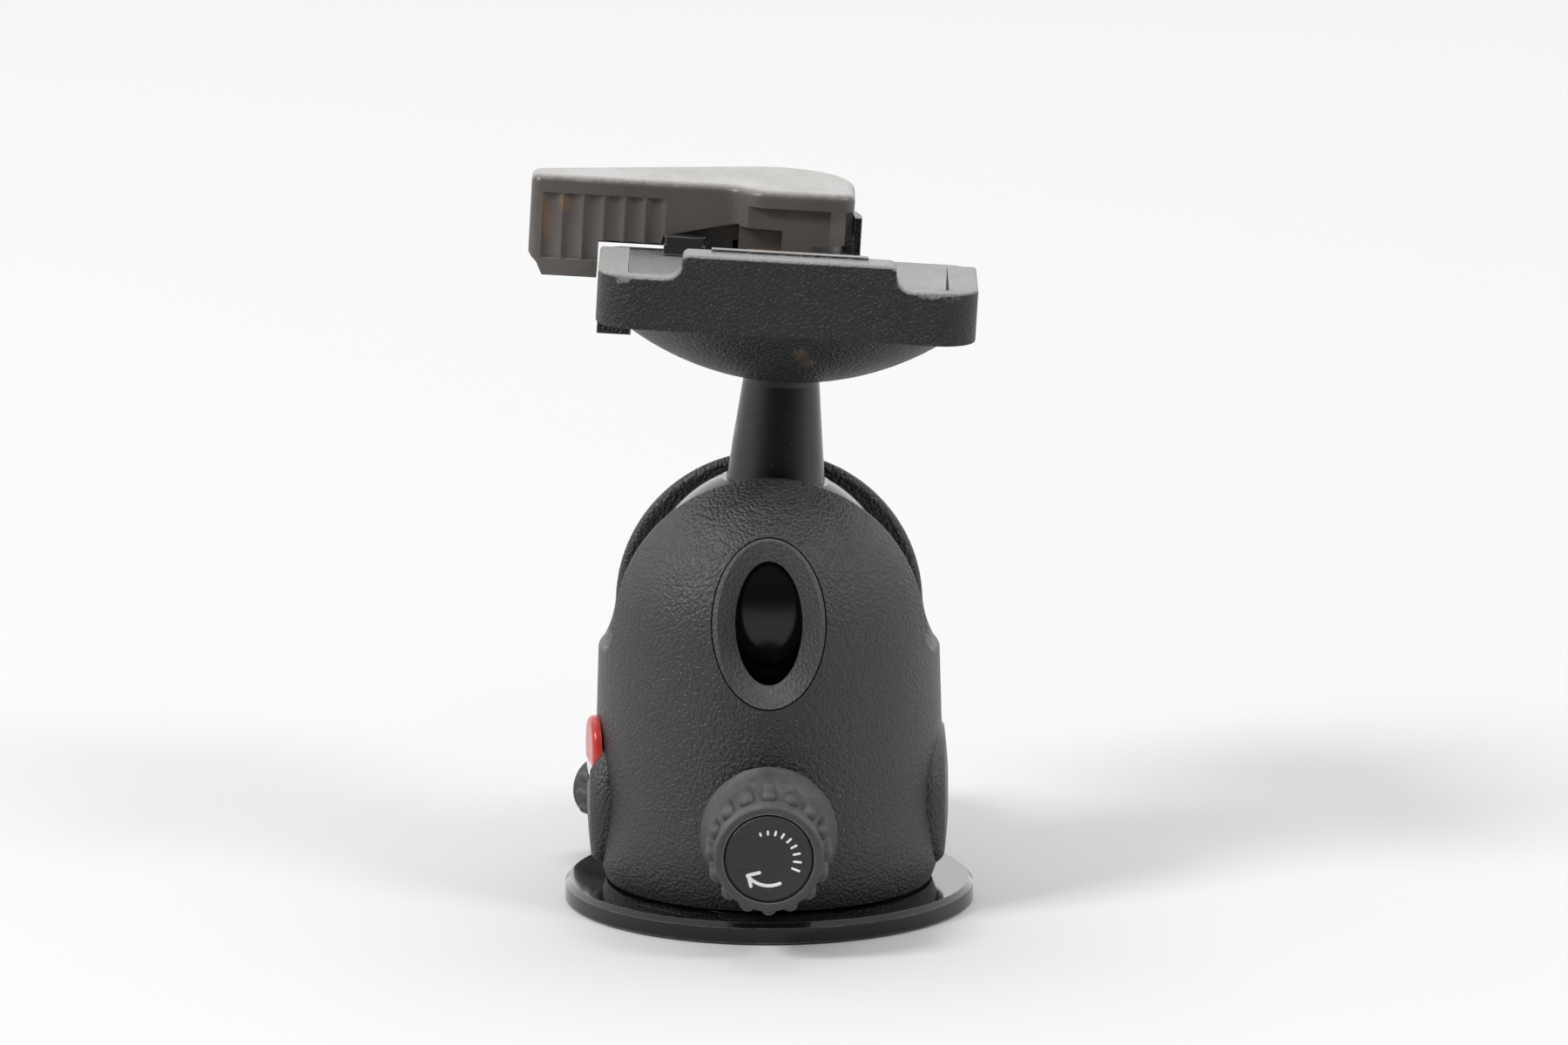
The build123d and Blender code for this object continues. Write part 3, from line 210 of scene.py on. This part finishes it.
def ramp(tree, value, low, high, to_low=0.0, to_high=1.0):
    """Maps a socket from one range to another, clamped."""
    node = tree.nodes.new("ShaderNodeMapRange")
    node.inputs["From Min"].default_value = low
    node.inputs["From Max"].default_value = high
    node.inputs["To Min"].default_value = to_low
    node.inputs["To Max"].default_value = to_high
    tree.links.new(value, node.inputs["Value"])
    return node.outputs["Result"]


print("tree helpers ready")

# %% [markdown]
# ## Pebbled coat
# Powder paint on a casting dries in small rounded grains about half a millimetre across. Smooth
# Voronoi cells give the grains, and a finer noise breaks their tops, so a lamp's glint scatters.

# %% Group: pebbled coat
pebbled, taken, given = start_group(
    "pebbled_coat", {"Scale": 1500.0, "Softness": 0.6}, {"Height": "Float", "Shade": "Float"})
place = put(pebbled, "TexCoord")
cells = put(pebbled, "TexVoronoi", feature="SMOOTH_F1")
grit = put(pebbled, "TexNoise", Detail=3.0, Roughness=0.6)
cloud = put(pebbled, "TexNoise", Scale=60.0, Detail=3.0)
join(pebbled, place.outputs["Object"], cells.inputs["Vector"])
join(pebbled, place.outputs["Object"], grit.inputs["Vector"])
join(pebbled, place.outputs["Object"], cloud.inputs["Vector"])
join(pebbled, taken.outputs["Scale"], cells.inputs["Scale"])
join(pebbled, taken.outputs["Softness"], cells.inputs["Smoothness"])
join(pebbled, math_node(pebbled, "MULTIPLY", taken.outputs["Scale"], 1.7), grit.inputs["Scale"])
grain = math_node(pebbled, "MULTIPLY", grit.outputs["Fac"], 0.6)
join(pebbled, math_node(pebbled, "SUBTRACT", grain, cells.outputs["Distance"]), given.inputs["Height"])
join(pebbled, ramp(pebbled, cloud.outputs["Fac"], 0.3, 0.7, 0.85, 1.15), given.inputs["Shade"])
print("group:", pebbled.name)

# %% [markdown]
# ## Worn edges
# Paint rubs off where corners are handled. A Bevel node gives the normal that a slightly rounded
# edge would have. Where it turns away from the true normal there is an edge, and noise breaks
# the mask into chips and rubs.

# %% Group: worn edges
worn, taken, given = start_group(
    "worn_edges", {"Width": 0.0006, "Amount": 0.5, "Chips": 400.0}, {"Mask": "Float"})
round_off = put(worn, "Bevel", samples=6)
flat = put(worn, "NewGeometry")
turn = put(worn, "VectorMath", operation="DOT_PRODUCT")
place = put(worn, "TexCoord")
chips = put(worn, "TexNoise", Detail=5.0, Roughness=0.65)
join(worn, taken.outputs["Width"], round_off.inputs["Radius"])
join(worn, round_off.outputs["Normal"], turn.inputs[0])
join(worn, flat.outputs["Normal"], turn.inputs[1])
join(worn, place.outputs["Object"], chips.inputs["Vector"])
join(worn, taken.outputs["Chips"], chips.inputs["Scale"])
edge = ramp(worn, turn.outputs["Value"], 0.995, 0.86)
raised = math_node(worn, "ADD", edge, taken.outputs["Amount"])
broken = math_node(worn, "SUBTRACT", raised, chips.outputs["Fac"])
chipped = ramp(worn, broken, 0.42, 0.62)
near_edge = ramp(worn, edge, 0.05, 0.3)
join(worn, math_node(worn, "MULTIPLY", chipped, near_edge), given.inputs["Mask"])
print("group:", worn.name)

# %% [markdown]
# ## Dust
# Dust settles on what faces up and hides in corners as pale specks. The group gives a soft film
# for upward faces and a mask of separate motes.

# %% Group: dust
dust, taken, given = start_group(
    "dust", {"Film": 0.3, "Motes": 0.5, "Mote Scale": 850.0}, {"Film": "Float", "Motes": "Float"})
flat = put(dust, "NewGeometry")
parts_of = put(dust, "SeparateXYZ")
place = put(dust, "TexCoord")
patch = put(dust, "TexNoise", Scale=140.0, Detail=5.0, Roughness=0.6)
motes = put(dust, "TexVoronoi")
scatter = put(dust, "TexNoise", Scale=45.0, Detail=2.0)
join(dust, flat.outputs["Normal"], parts_of.inputs[0])
join(dust, place.outputs["Object"], patch.inputs["Vector"])
join(dust, place.outputs["Object"], motes.inputs["Vector"])
join(dust, place.outputs["Object"], scatter.inputs["Vector"])
join(dust, taken.outputs["Mote Scale"], motes.inputs["Scale"])
up = ramp(dust, parts_of.outputs["Z"], 0.1, 0.95)
film = math_node(dust, "MULTIPLY", up, ramp(dust, patch.outputs["Fac"], 0.35, 0.75))
join(dust, math_node(dust, "MULTIPLY", film, taken.outputs["Film"]), given.inputs["Film"])
widest_mote = 0.19
size = math_node(dust, "MULTIPLY", ramp(dust, scatter.outputs["Fac"], 0.48, 0.85), widest_mote)
spots = math_node(dust, "LESS_THAN", motes.outputs["Distance"], size)
join(dust, math_node(dust, "MULTIPLY", spots, taken.outputs["Motes"]), given.inputs["Motes"])
print("group:", dust.name)

# %% [markdown]
# ## Single marks
# A stain, a chip or a scratch is one small blot in one place. The group measures how far a point
# lies from the blot's middle, in widths of the blot, and noise makes its rim ragged.

# %% Group: blot
blot, taken, given = start_group(
    "blot",
    {"X": 0.0, "Y": 0.0, "Z": 0.0, "Wide": 1.0, "Deep": 1.0, "High": 1.0, "Turn": 0.0, "Ragged": 0.6,
     "Grain": 1200.0},
    {"Mask": "Float"})
place = put(blot, "TexCoord")
middle_of = put(blot, "CombineXYZ")
widths = put(blot, "CombineXYZ")
offset = put(blot, "VectorMath", operation="SUBTRACT")
turned = put(blot, "VectorRotate", rotation_type="Z_AXIS")
scaled = put(blot, "VectorMath", operation="DIVIDE")
reach = put(blot, "VectorMath", operation="LENGTH")
rim = put(blot, "TexNoise", Detail=4.0, Roughness=0.65)
for axis, label in (("X", "Wide"), ("Y", "Deep"), ("Z", "High")):
    join(blot, taken.outputs[axis], middle_of.inputs[axis])
    join(blot, taken.outputs[label], widths.inputs[axis])
join(blot, place.outputs["Object"], offset.inputs[0])
join(blot, middle_of.outputs[0], offset.inputs[1])
join(blot, offset.outputs[0], turned.inputs["Vector"])
join(blot, taken.outputs["Turn"], turned.inputs["Angle"])
join(blot, turned.outputs[0], scaled.inputs[0])
join(blot, widths.outputs[0], scaled.inputs[1])
join(blot, scaled.outputs[0], reach.inputs[0])
join(blot, place.outputs["Object"], rim.inputs["Vector"])
join(blot, taken.outputs["Grain"], rim.inputs["Scale"])
rim_gain = 3.0
centred = math_node(blot, "SUBTRACT", rim.outputs["Fac"], 0.5)
wander = math_node(blot, "MULTIPLY", centred, taken.outputs["Ragged"])
strayed = math_node(blot, "ADD", reach.outputs["Value"], math_node(blot, "MULTIPLY", wander, rim_gain))
join(blot, ramp(blot, strayed, 1.1, 0.45), given.inputs["Mask"])
print("group:", blot.name)

# %% [markdown]
# ## Rubbed tops with painted sheen
# What lies or slides on the receiver polishes its upward faces pale, and the pale tops are also a
# painted sheen of the light from above. The group masks faces that look up, with a fine grain, and
# gives them a ragged border on the rounded edge below. Upright faces stay free of it.

# %% Group: rubbed top with painted sheen
rubbed_and_sheen, taken, given = start_group("rubbed_and_sheen_top", {"Amount": 1.0, "From": 0.35, "To": 0.75}, {"Mask": "Float"})
flat = put(rubbed_and_sheen, "NewGeometry")
parts_of = put(rubbed_and_sheen, "SeparateXYZ")
place = put(rubbed_and_sheen, "TexCoord")
ragged = put(rubbed_and_sheen, "TexNoise", Scale=700.0, Detail=5.0, Roughness=0.7)
fine = put(rubbed_and_sheen, "TexNoise", Scale=3500.0, Detail=2.0)
join(rubbed_and_sheen, flat.outputs["Normal"], parts_of.inputs[0])
join(rubbed_and_sheen, place.outputs["Object"], ragged.inputs["Vector"])
join(rubbed_and_sheen, place.outputs["Object"], fine.inputs["Vector"])
border_gain = 0.9
centred = math_node(rubbed_and_sheen, "SUBTRACT", ragged.outputs["Fac"], 0.5)
tilt = math_node(rubbed_and_sheen, "ADD", parts_of.outputs["Z"], math_node(rubbed_and_sheen, "MULTIPLY", centred, border_gain))
span = put(rubbed_and_sheen, "MapRange")
join(rubbed_and_sheen, tilt, span.inputs["Value"])
join(rubbed_and_sheen, taken.outputs["From"], span.inputs["From Min"])
join(rubbed_and_sheen, taken.outputs["To"], span.inputs["From Max"])
looks_up = ramp(rubbed_and_sheen, parts_of.outputs["Z"], 0.10, 0.28)
bordered = math_node(rubbed_and_sheen, "MULTIPLY", span.outputs["Result"], taken.outputs["Amount"])
# pale upward faces: partly rubbed paint, partly a painted sheen of the light from above
rub_and_sheen = math_node(rubbed_and_sheen, "MULTIPLY", bordered, looks_up)
fine_shade = ramp(rubbed_and_sheen, fine.outputs["Fac"], 0.3, 0.7, 0.75, 1.0)
join(rubbed_and_sheen, math_node(rubbed_and_sheen, "MULTIPLY", rub_and_sheen, fine_shade), given.inputs["Mask"])
print("group:", rubbed_and_sheen.name)

# %% [markdown]
# ## One recipe for every skin
# The finishes share a build: a base colour with slow cloudiness, a grain in the normal, then pale
# wear on the edges, a rub with a painted sheen on what faces up, single marks, and dust on top. The
# function wires the groups into a Principled BSDF, and each finish only brings its own numbers.

# %% Skin builder
dust_colour = (0.32, 0.31, 0.29)
mote_colour = (0.5, 0.48, 0.44)
dust_roughens = 0.5


def place_group(tree, group, **values):
    node = tree.nodes.new("ShaderNodeGroup")
    node.node_tree = group
    for name, value in values.items():
        node.inputs[name.replace("_", " ")].default_value = value
    return node


def blend_colour(tree, factor, below, above):
    """Lays one colour over another; each is a colour or a socket. Gives the result's socket."""
    node = tree.nodes.new("ShaderNodeMix")
    node.data_type = "RGBA"
    tree.links.new(factor, node.inputs["Factor"])
    for slot, value in ((colour_a, below), (colour_b, above)):
        if isinstance(value, tuple):
            node.inputs[slot].default_value = (*value, 1.0)
        else:
            tree.links.new(value, node.inputs[slot])
    return node.outputs[colour_result]


def shade_colour(tree, colour, shade):
    """A colour multiplied by a varying shade."""
    node = tree.nodes.new("ShaderNodeMix")
    node.data_type = "RGBA"
    node.blend_type = "MULTIPLY"
    node.inputs["Factor"].default_value = 1.0
    node.inputs[colour_a].default_value = (*colour, 1.0)
    tree.links.new(shade, node.inputs[colour_b])
    return node.outputs[colour_result]


def make_skin(name, colour, rough, grain=1500.0, bump=0.3, wear=None, worn_colour=(0.4, 0.4, 0.4),
              film=0.25, motes=0.5, metal=0.0, grain_depth=0.00012, top=None, marks=(), shine=0.5):
    """A finish. wear is (width, amount, chip scale) of the edges, and top is (amount, from, to,
    colour) of a rub with a painted sheen on upward faces. Each mark is (middle, radii, turn,
    raggedness, colour)."""
    material = bpy.data.materials.new(name)
    material.use_nodes = True
    tree = material.node_tree
    skin = tree.nodes["Principled BSDF"]
    skin.inputs["Metallic"].default_value = metal
    skin.inputs["Specular IOR Level"].default_value = shine
    coat = place_group(tree, pebbled, Scale=grain)
    colour_now = shade_colour(tree, colour, coat.outputs["Shade"])
    rough_now = math_node(tree, "MULTIPLY", coat.outputs["Shade"], rough)
    if wear:
        edges = place_group(tree, worn, Width=wear[0], Amount=wear[1], Chips=wear[2])
        colour_now = blend_colour(tree, edges.outputs["Mask"], colour_now, worn_colour)
    # the top: paler upward faces, partly rubbed paint, partly a painted sheen of the light from above
    if top:
        tops = place_group(tree, rubbed_and_sheen, Amount=top[0], From=top[1], To=top[2])
        colour_now = blend_colour(tree, tops.outputs["Mask"], colour_now, top[3])
    for (x, y, z), (wide, deep, high), turn, ragged_by, mark_colour in marks:
        spot = place_group(tree, blot, X=x * mm, Y=y * mm, Z=z * mm, Wide=wide * mm, Deep=deep * mm,
                           High=high * mm, Turn=math.radians(turn), Ragged=ragged_by)
        colour_now = blend_colour(tree, spot.outputs["Mask"], colour_now, mark_colour)
    dirt = place_group(tree, dust, Film=film, Motes=motes)
    colour_now = blend_colour(tree, dirt.outputs["Film"], colour_now, dust_colour)
    colour_now = blend_colour(tree, dirt.outputs["Motes"], colour_now, mote_colour)
    join(tree, colour_now, skin.inputs["Base Color"])
    roughening = math_node(tree, "MULTIPLY", dirt.outputs["Film"], dust_roughens)
    join(tree, math_node(tree, "ADD", rough_now, roughening, clamp=True), skin.inputs["Roughness"])
    relief = put(tree, "Bump", Strength=bump, Distance=grain_depth)
    join(tree, coat.outputs["Height"], relief.inputs["Height"])
    join(tree, relief.outputs["Normal"], skin.inputs["Normal"])
    return material


print("skin builder ready")

# %% [markdown]
# ## The finishes
# The housing is pebbled powder coat, the base disc smooth anodised metal. The receiver's paint is
# rubbed grey on top, with a painted sheen there too, and chipped along its front edge. The lever has
# a thin taupe paint with a pale top, partly rubbed and partly painted sheen, and rust in its first
# finger grooves. The grips are soft dusty rubber.

# %% Marks of use
stain_brown = (0.060, 0.038, 0.014)
chip_pale = (0.17, 0.17, 0.165)
scratch_pale = (0.20, 0.20, 0.19)
receiver_marks = (
    ((5.0, -21.0, 93.4), (1.3, 2.4, 1.5), 0, 0.9, stain_brown),
    ((6.2, -18.6, 91.4), (1.2, 2.4, 1.3), 0, 0.9, stain_brown),
    ((-23.0, -23.9, 105.9), (1.3, 1.6, 0.7), 0, 0.9, chip_pale),
    ((28.4, -21.2, 102.9), (2.2, 3.0, 0.9), 0, 1.0, chip_pale),
    ((26.0, -24.4, 103.3), (3.2, 1.2, 0.5), 0, 1.0, chip_pale),
)
lever_stains = (
    ((-36.3, 26.0, 107.0), (0.9, 2.0, 4.4), 0, 0.6, (0.17, 0.105, 0.060)),
    ((-33.2, 26.0, 109.4), (1.1, 2.0, 1.6), 0, 0.6, (0.17, 0.110, 0.065)),
)
disc_scratches = (
    ((-17.6, -23.2, 3.6), (6.8, 0.10, 0.5), 44, 0.25, scratch_pale),
    ((-9.0, -24.4, 3.6), (3.4, 0.12, 0.5), 42, 0.25, scratch_pale),
)
print("marks:", len(receiver_marks) + len(lever_stains) + len(disc_scratches))

# %% Finishes
rub_grey = (0.15, 0.15, 0.147)
bare_grey = (0.3, 0.3, 0.3)
# Pale upward faces of the receiver and the lever: partly rubbed paint, partly a painted sheen of the light
# from above.
receiver_rub_and_sheen = (0.95, 0.0, 0.6, (0.29, 0.29, 0.285))
lever_rub_and_sheen = (0.8, 0.35, 1.05, (0.38, 0.365, 0.35))
looks = {
    "housing": make_skin("pebbled_black", (0.013, 0.013, 0.0132), 0.42, 1900.0, 1.0,
                         film=0.10, motes=0.35, grain_depth=0.00020, shine=0.68),
    "bezel": make_skin("bezel_grey", (0.052, 0.052, 0.053), 0.44, 1900.0, 1.0,
                       film=0.20, motes=0.3, grain_depth=0.00022),
    "disc": make_skin("anodised_black", (0.003, 0.003, 0.0033), 0.09, 3500.0, 0.01,
                      (0.0004, 0.1, 300.0), bare_grey, film=0.03, motes=0.25, marks=disc_scratches),
    "ball": make_skin("polished_black", (0.003, 0.003, 0.0033), 0.18, 3500.0, 0.01,
                      film=0.02, motes=0.1, shine=0.35),
    "neck": make_skin("satin_black", (0.002, 0.002, 0.0023), 0.25, 3500.0, 0.03,
                      film=0.03, motes=0.2, shine=0.65),
    "receiver": make_skin("cast_black", (0.005, 0.005, 0.0052), 0.40, 2100.0, 1.0,
                          (0.0005, 0.20, 700.0), rub_grey, film=0.18, motes=1.0,
                          grain_depth=0.00030, top=receiver_rub_and_sheen, marks=receiver_marks),
    "lever": make_skin("taupe_paint", (0.105, 0.092, 0.084), 0.32, 1200.0, 0.25,
                       film=0.22, motes=0.15, top=lever_rub_and_sheen, marks=lever_stains),
    "knob": make_skin("grip_rubber", (0.041, 0.041, 0.040), 0.58, 1900.0, 0.6,
                      (0.0005, 0.16, 600.0), rub_grey, film=0.45, motes=0.6),
    "knob_cap": make_skin("cap_black", (0.018, 0.018, 0.0185), 0.50, 1700.0, 0.6, film=0.1, motes=0.4),
    "brass": make_skin("button_brass", (0.72, 0.50, 0.22), 0.32, 2500.0, 0.04,
                       film=0.15, motes=0.1, metal=1.0),
    "catch": make_skin("catch_black", (0.015, 0.015, 0.016), 0.16, 2500.0, 0.04,
                       (0.0003, 0.3, 400.0), bare_grey, film=0.15, motes=0.2, shine=0.8),
    "steel": make_skin("dark_steel", (0.30, 0.30, 0.31), 0.34, 2500.0, 0.05,
                       film=0.15, motes=0.1, metal=1.0),
    "spring": make_skin("spring_steel", (0.50, 0.50, 0.51), 0.28, 2500.0, 0.03,
                        film=0.05, motes=0.0, metal=1.0),
    "liner": make_skin("acetal", (0.012, 0.012, 0.012), 0.42, 2500.0, 0.03, film=0.0, motes=0.0),
    "bronze": make_skin("bearing_bronze", (0.12, 0.085, 0.05), 0.45, 2500.0, 0.05,
                        film=0.05, motes=0.0, metal=1.0),
    "badge": make_skin("badge_red", (0.50, 0.030, 0.022), 0.22, 2500.0, 0.02, film=0.05, motes=0.1),
}
badge_foot = 23.5           # the badge is white below this height
badge_blend = 0.1
foot_white = (0.70, 0.70, 0.69)
badge_skin = looks["badge"].node_tree
lower = put(badge_skin, "SeparateXYZ")
join(badge_skin, put(badge_skin, "TexCoord").outputs["Object"], lower.inputs[0])
foot_from = (badge_foot + badge_blend) * mm
foot_to = (badge_foot - badge_blend) * mm
white_foot = ramp(badge_skin, lower.outputs["Z"], foot_from, foot_to)
badge_colour = badge_skin.nodes["Principled BSDF"].inputs["Base Color"]
red_now = badge_colour.links[0].from_socket
join(badge_skin, blend_colour(badge_skin, white_foot, red_now, foot_white), badge_colour)
for sub in frame["record"]["subparts"]:
    node = nodes[sub["node"]]
    node.data.materials.clear()
    node.data.materials.append(looks[sub["material_slot"]])
print("finishes:", len(looks))

# %% [markdown]
# ## The table's paper
# The floor is pale paper. To the camera it is a matt white with a faint glow that grows away from
# the head, so it stays even out to the edges and still takes the soft shadow. Other rays meet plain
# paper, and mirror rays a darker floor in front, towards the dim side of the studio.

# %% Table finish
paper_grey = 0.78
seen_grey = 0.82
front_grey = 0.16
glow_near, glow_far, glow_most = 0.08, 0.9, 0.09
front_from, front_to = -2.15, -2.50     # along the table's own Y, where the head stands at -2


def grey(level):
    return (level, level, level, 1)


sheet_look = bpy.data.materials.new("table_paper")
sheet_look.use_nodes = True
tree = sheet_look.node_tree
paper_skin = tree.nodes["Principled BSDF"]
paper_skin.inputs["Base Color"].default_value = grey(paper_grey)
paper_skin.inputs["Roughness"].default_value = 0.9
seen_paper = put(tree, "BsdfDiffuse", Color=grey(seen_grey))
shaded_front = put(tree, "BsdfDiffuse", Color=grey(front_grey))
glow = put(tree, "Emission", Color=grey(1))
seen_sum = put(tree, "AddShader")
rays = put(tree, "LightPath")
pick = put(tree, "MixShader")
mirrored_floor = put(tree, "MixShader")
spot = put(tree, "SeparateXYZ")
from_head = put(tree, "VectorMath", operation="DISTANCE")
from_head.inputs[1].default_value = (0, -table_shift, 0)
place = put(tree, "TexCoord")
join(tree, place.outputs["Object"], spot.inputs[0])
join(tree, place.outputs["Object"], from_head.inputs[0])
join(tree, seen_paper.outputs[0], seen_sum.inputs[0])
join(tree, glow.outputs[0], seen_sum.inputs[1])
growing = ramp(tree, from_head.outputs["Value"], glow_near, glow_far, 0.0, glow_most)
join(tree, growing, glow.inputs["Strength"])
dim_part = ramp(tree, spot.outputs["Y"], front_from, front_to)
in_front = math_node(tree, "MULTIPLY", dim_part, rays.outputs["Is Glossy Ray"])
join(tree, in_front, mirrored_floor.inputs[0])
join(tree, paper_skin.outputs[0], mirrored_floor.inputs[1])
join(tree, shaded_front.outputs[0], mirrored_floor.inputs[2])
join(tree, rays.outputs["Is Camera Ray"], pick.inputs[0])
join(tree, mirrored_floor.outputs[0], pick.inputs[1])
join(tree, seen_sum.outputs[0], pick.inputs[2])
join(tree, pick.outputs[0], tree.nodes["Material Output"].inputs["Surface"])
table.data.materials.append(sheet_look)

# %% [markdown]
# ## The print on the friction cap
# White ink on the cap tells which way to turn. It is a thin layer of its own: strokes with round
# ends, each a circle pulled long in edit mode, and an arrow whose shaft is ten of them along an arc.
# Small ticks that grow along the arc say that the drag grows with the turn.

# %% Print helpers
boss_face = 28.9
knob_gap = 0.35
knob_length = 17.05
cap_front = -(boss_face + knob_gap + knob_length)
cap_height = 17.4
ink_half = 0.27
ink_depth = 0.05
ink_proud = 0.3             # this share of its depth lifts the ink's middle off the cap
stroke_sides = 24


def deselect_all():
    bpy.ops.object.select_all(action="DESELECT")


def stroke(start, end, half=ink_half):
    """A stroke with round ends between two points in the drawing's plane, in millimetres."""
    run = math.dist(start, end)
    half_step = math.radians(180 / stroke_sides)
    deselect_all()
    bpy.ops.mesh.primitive_circle_add(vertices=stroke_sides, radius=half * mm, fill_type="NGON",
                                      location=(0, 0, 0))
    piece = bpy.context.object
    bpy.ops.object.mode_set(mode="EDIT")
    bpy.ops.mesh.select_all(action="DESELECT")
    shape = bmesh.from_edit_mesh(piece.data)
    bmesh.ops.rotate(shape, verts=shape.verts, cent=(0, 0, 0), matrix=Matrix.Rotation(half_step, 3, "Z"))
    for corner in shape.verts:
        corner.select = corner.co.x > 0
    shape.select_flush_mode()
    bmesh.update_edit_mesh(piece.data)
    bpy.ops.transform.translate(value=(run * mm, 0, 0))
    bpy.ops.object.mode_set(mode="OBJECT")
    piece.rotation_euler = (0, 0, math.atan2(end[1] - start[1], end[0] - start[0]))
    piece.location = (start[0] * mm, start[1] * mm, 0)
    bpy.ops.object.transform_apply(location=True, rotation=True, scale=True)
    return piece


def on_arc(radius, angle):
    return (radius * math.cos(math.radians(angle)), radius * math.sin(math.radians(angle)))


print("ink half width:", ink_half, "mm")

# %% Arrow and ticks
arrow_radius = 4.3
arrow_from = -66
arrow_sweep = 75
arc_steps = 10
barb_long, barb_short = 1.75, 0.42
tip_inset = 0.15
tick_from = 108
tick_sweep = 130
tick_count = 9
tick_inner = 4.0
tick_shortest = 0.35
tick_growth = 0.10
tick_half = 0.18
arc = [on_arc(arrow_radius, arrow_from - arrow_sweep * k / arc_steps) for k in range(arc_steps + 1)]
arrow_tip = on_arc(arrow_radius - tip_inset, arrow_from - arrow_sweep)
strokes = [stroke(arc[k], arc[k + 1]) for k in range(arc_steps)]
strokes.append(stroke(arrow_tip, (arrow_tip[0] + barb_long, arrow_tip[1] + barb_short)))
strokes.append(stroke(arrow_tip, (arrow_tip[0] + barb_short, arrow_tip[1] - barb_long)))
for k in range(tick_count):
    angle = tick_from - tick_sweep * k / (tick_count - 1)
    outer = tick_inner + tick_shortest + tick_growth * k
    strokes.append(stroke(on_arc(tick_inner, angle), on_arc(outer, angle), tick_half))
print("strokes:", len(strokes))

# %% Press the print onto the cap
for piece in strokes:
    deselect_all()
    piece.select_set(True)
    bpy.context.view_layer.objects.active = piece
    thick = piece.modifiers.new("ink", "SOLIDIFY")
    thick.thickness = ink_depth * mm
    thick.offset = 0.0
    bpy.ops.object.modifier_apply(modifier=thick.name)
arrow = strokes[0]
for piece in strokes[1:arc_steps + 2]:
    deselect_all()
    arrow.select_set(True)
    bpy.context.view_layer.objects.active = arrow
    union = arrow.modifiers.new("union", "BOOLEAN")
    union.operation = "UNION"
    union.solver = "EXACT"
    union.object = piece
    bpy.ops.object.modifier_apply(modifier=union.name)
    bpy.data.objects.remove(piece, do_unlink=True)
deselect_all()
for piece in [arrow] + strokes[arc_steps + 2:]:
    piece.select_set(True)
bpy.context.view_layer.objects.active = arrow
bpy.ops.object.join()
cap_print = bpy.context.object
cap_print.name = "friction_cap_print"
cap_print.rotation_euler = (math.radians(90), 0, 0)
cap_print.location = (0, (cap_front - ink_depth * ink_proud) * mm, cap_height * mm)
bpy.ops.object.transform_apply(location=True, rotation=True, scale=True)
cap_print.data.materials.clear()
ink = make_skin("ink_white", (0.72, 0.72, 0.72), 0.55, 4000.0, 0.03, film=0.0, motes=0.0)
cap_print.data.materials.append(ink)
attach(cap_print, "friction_drive")
print("print faces:", len(cap_print.data.polygons))
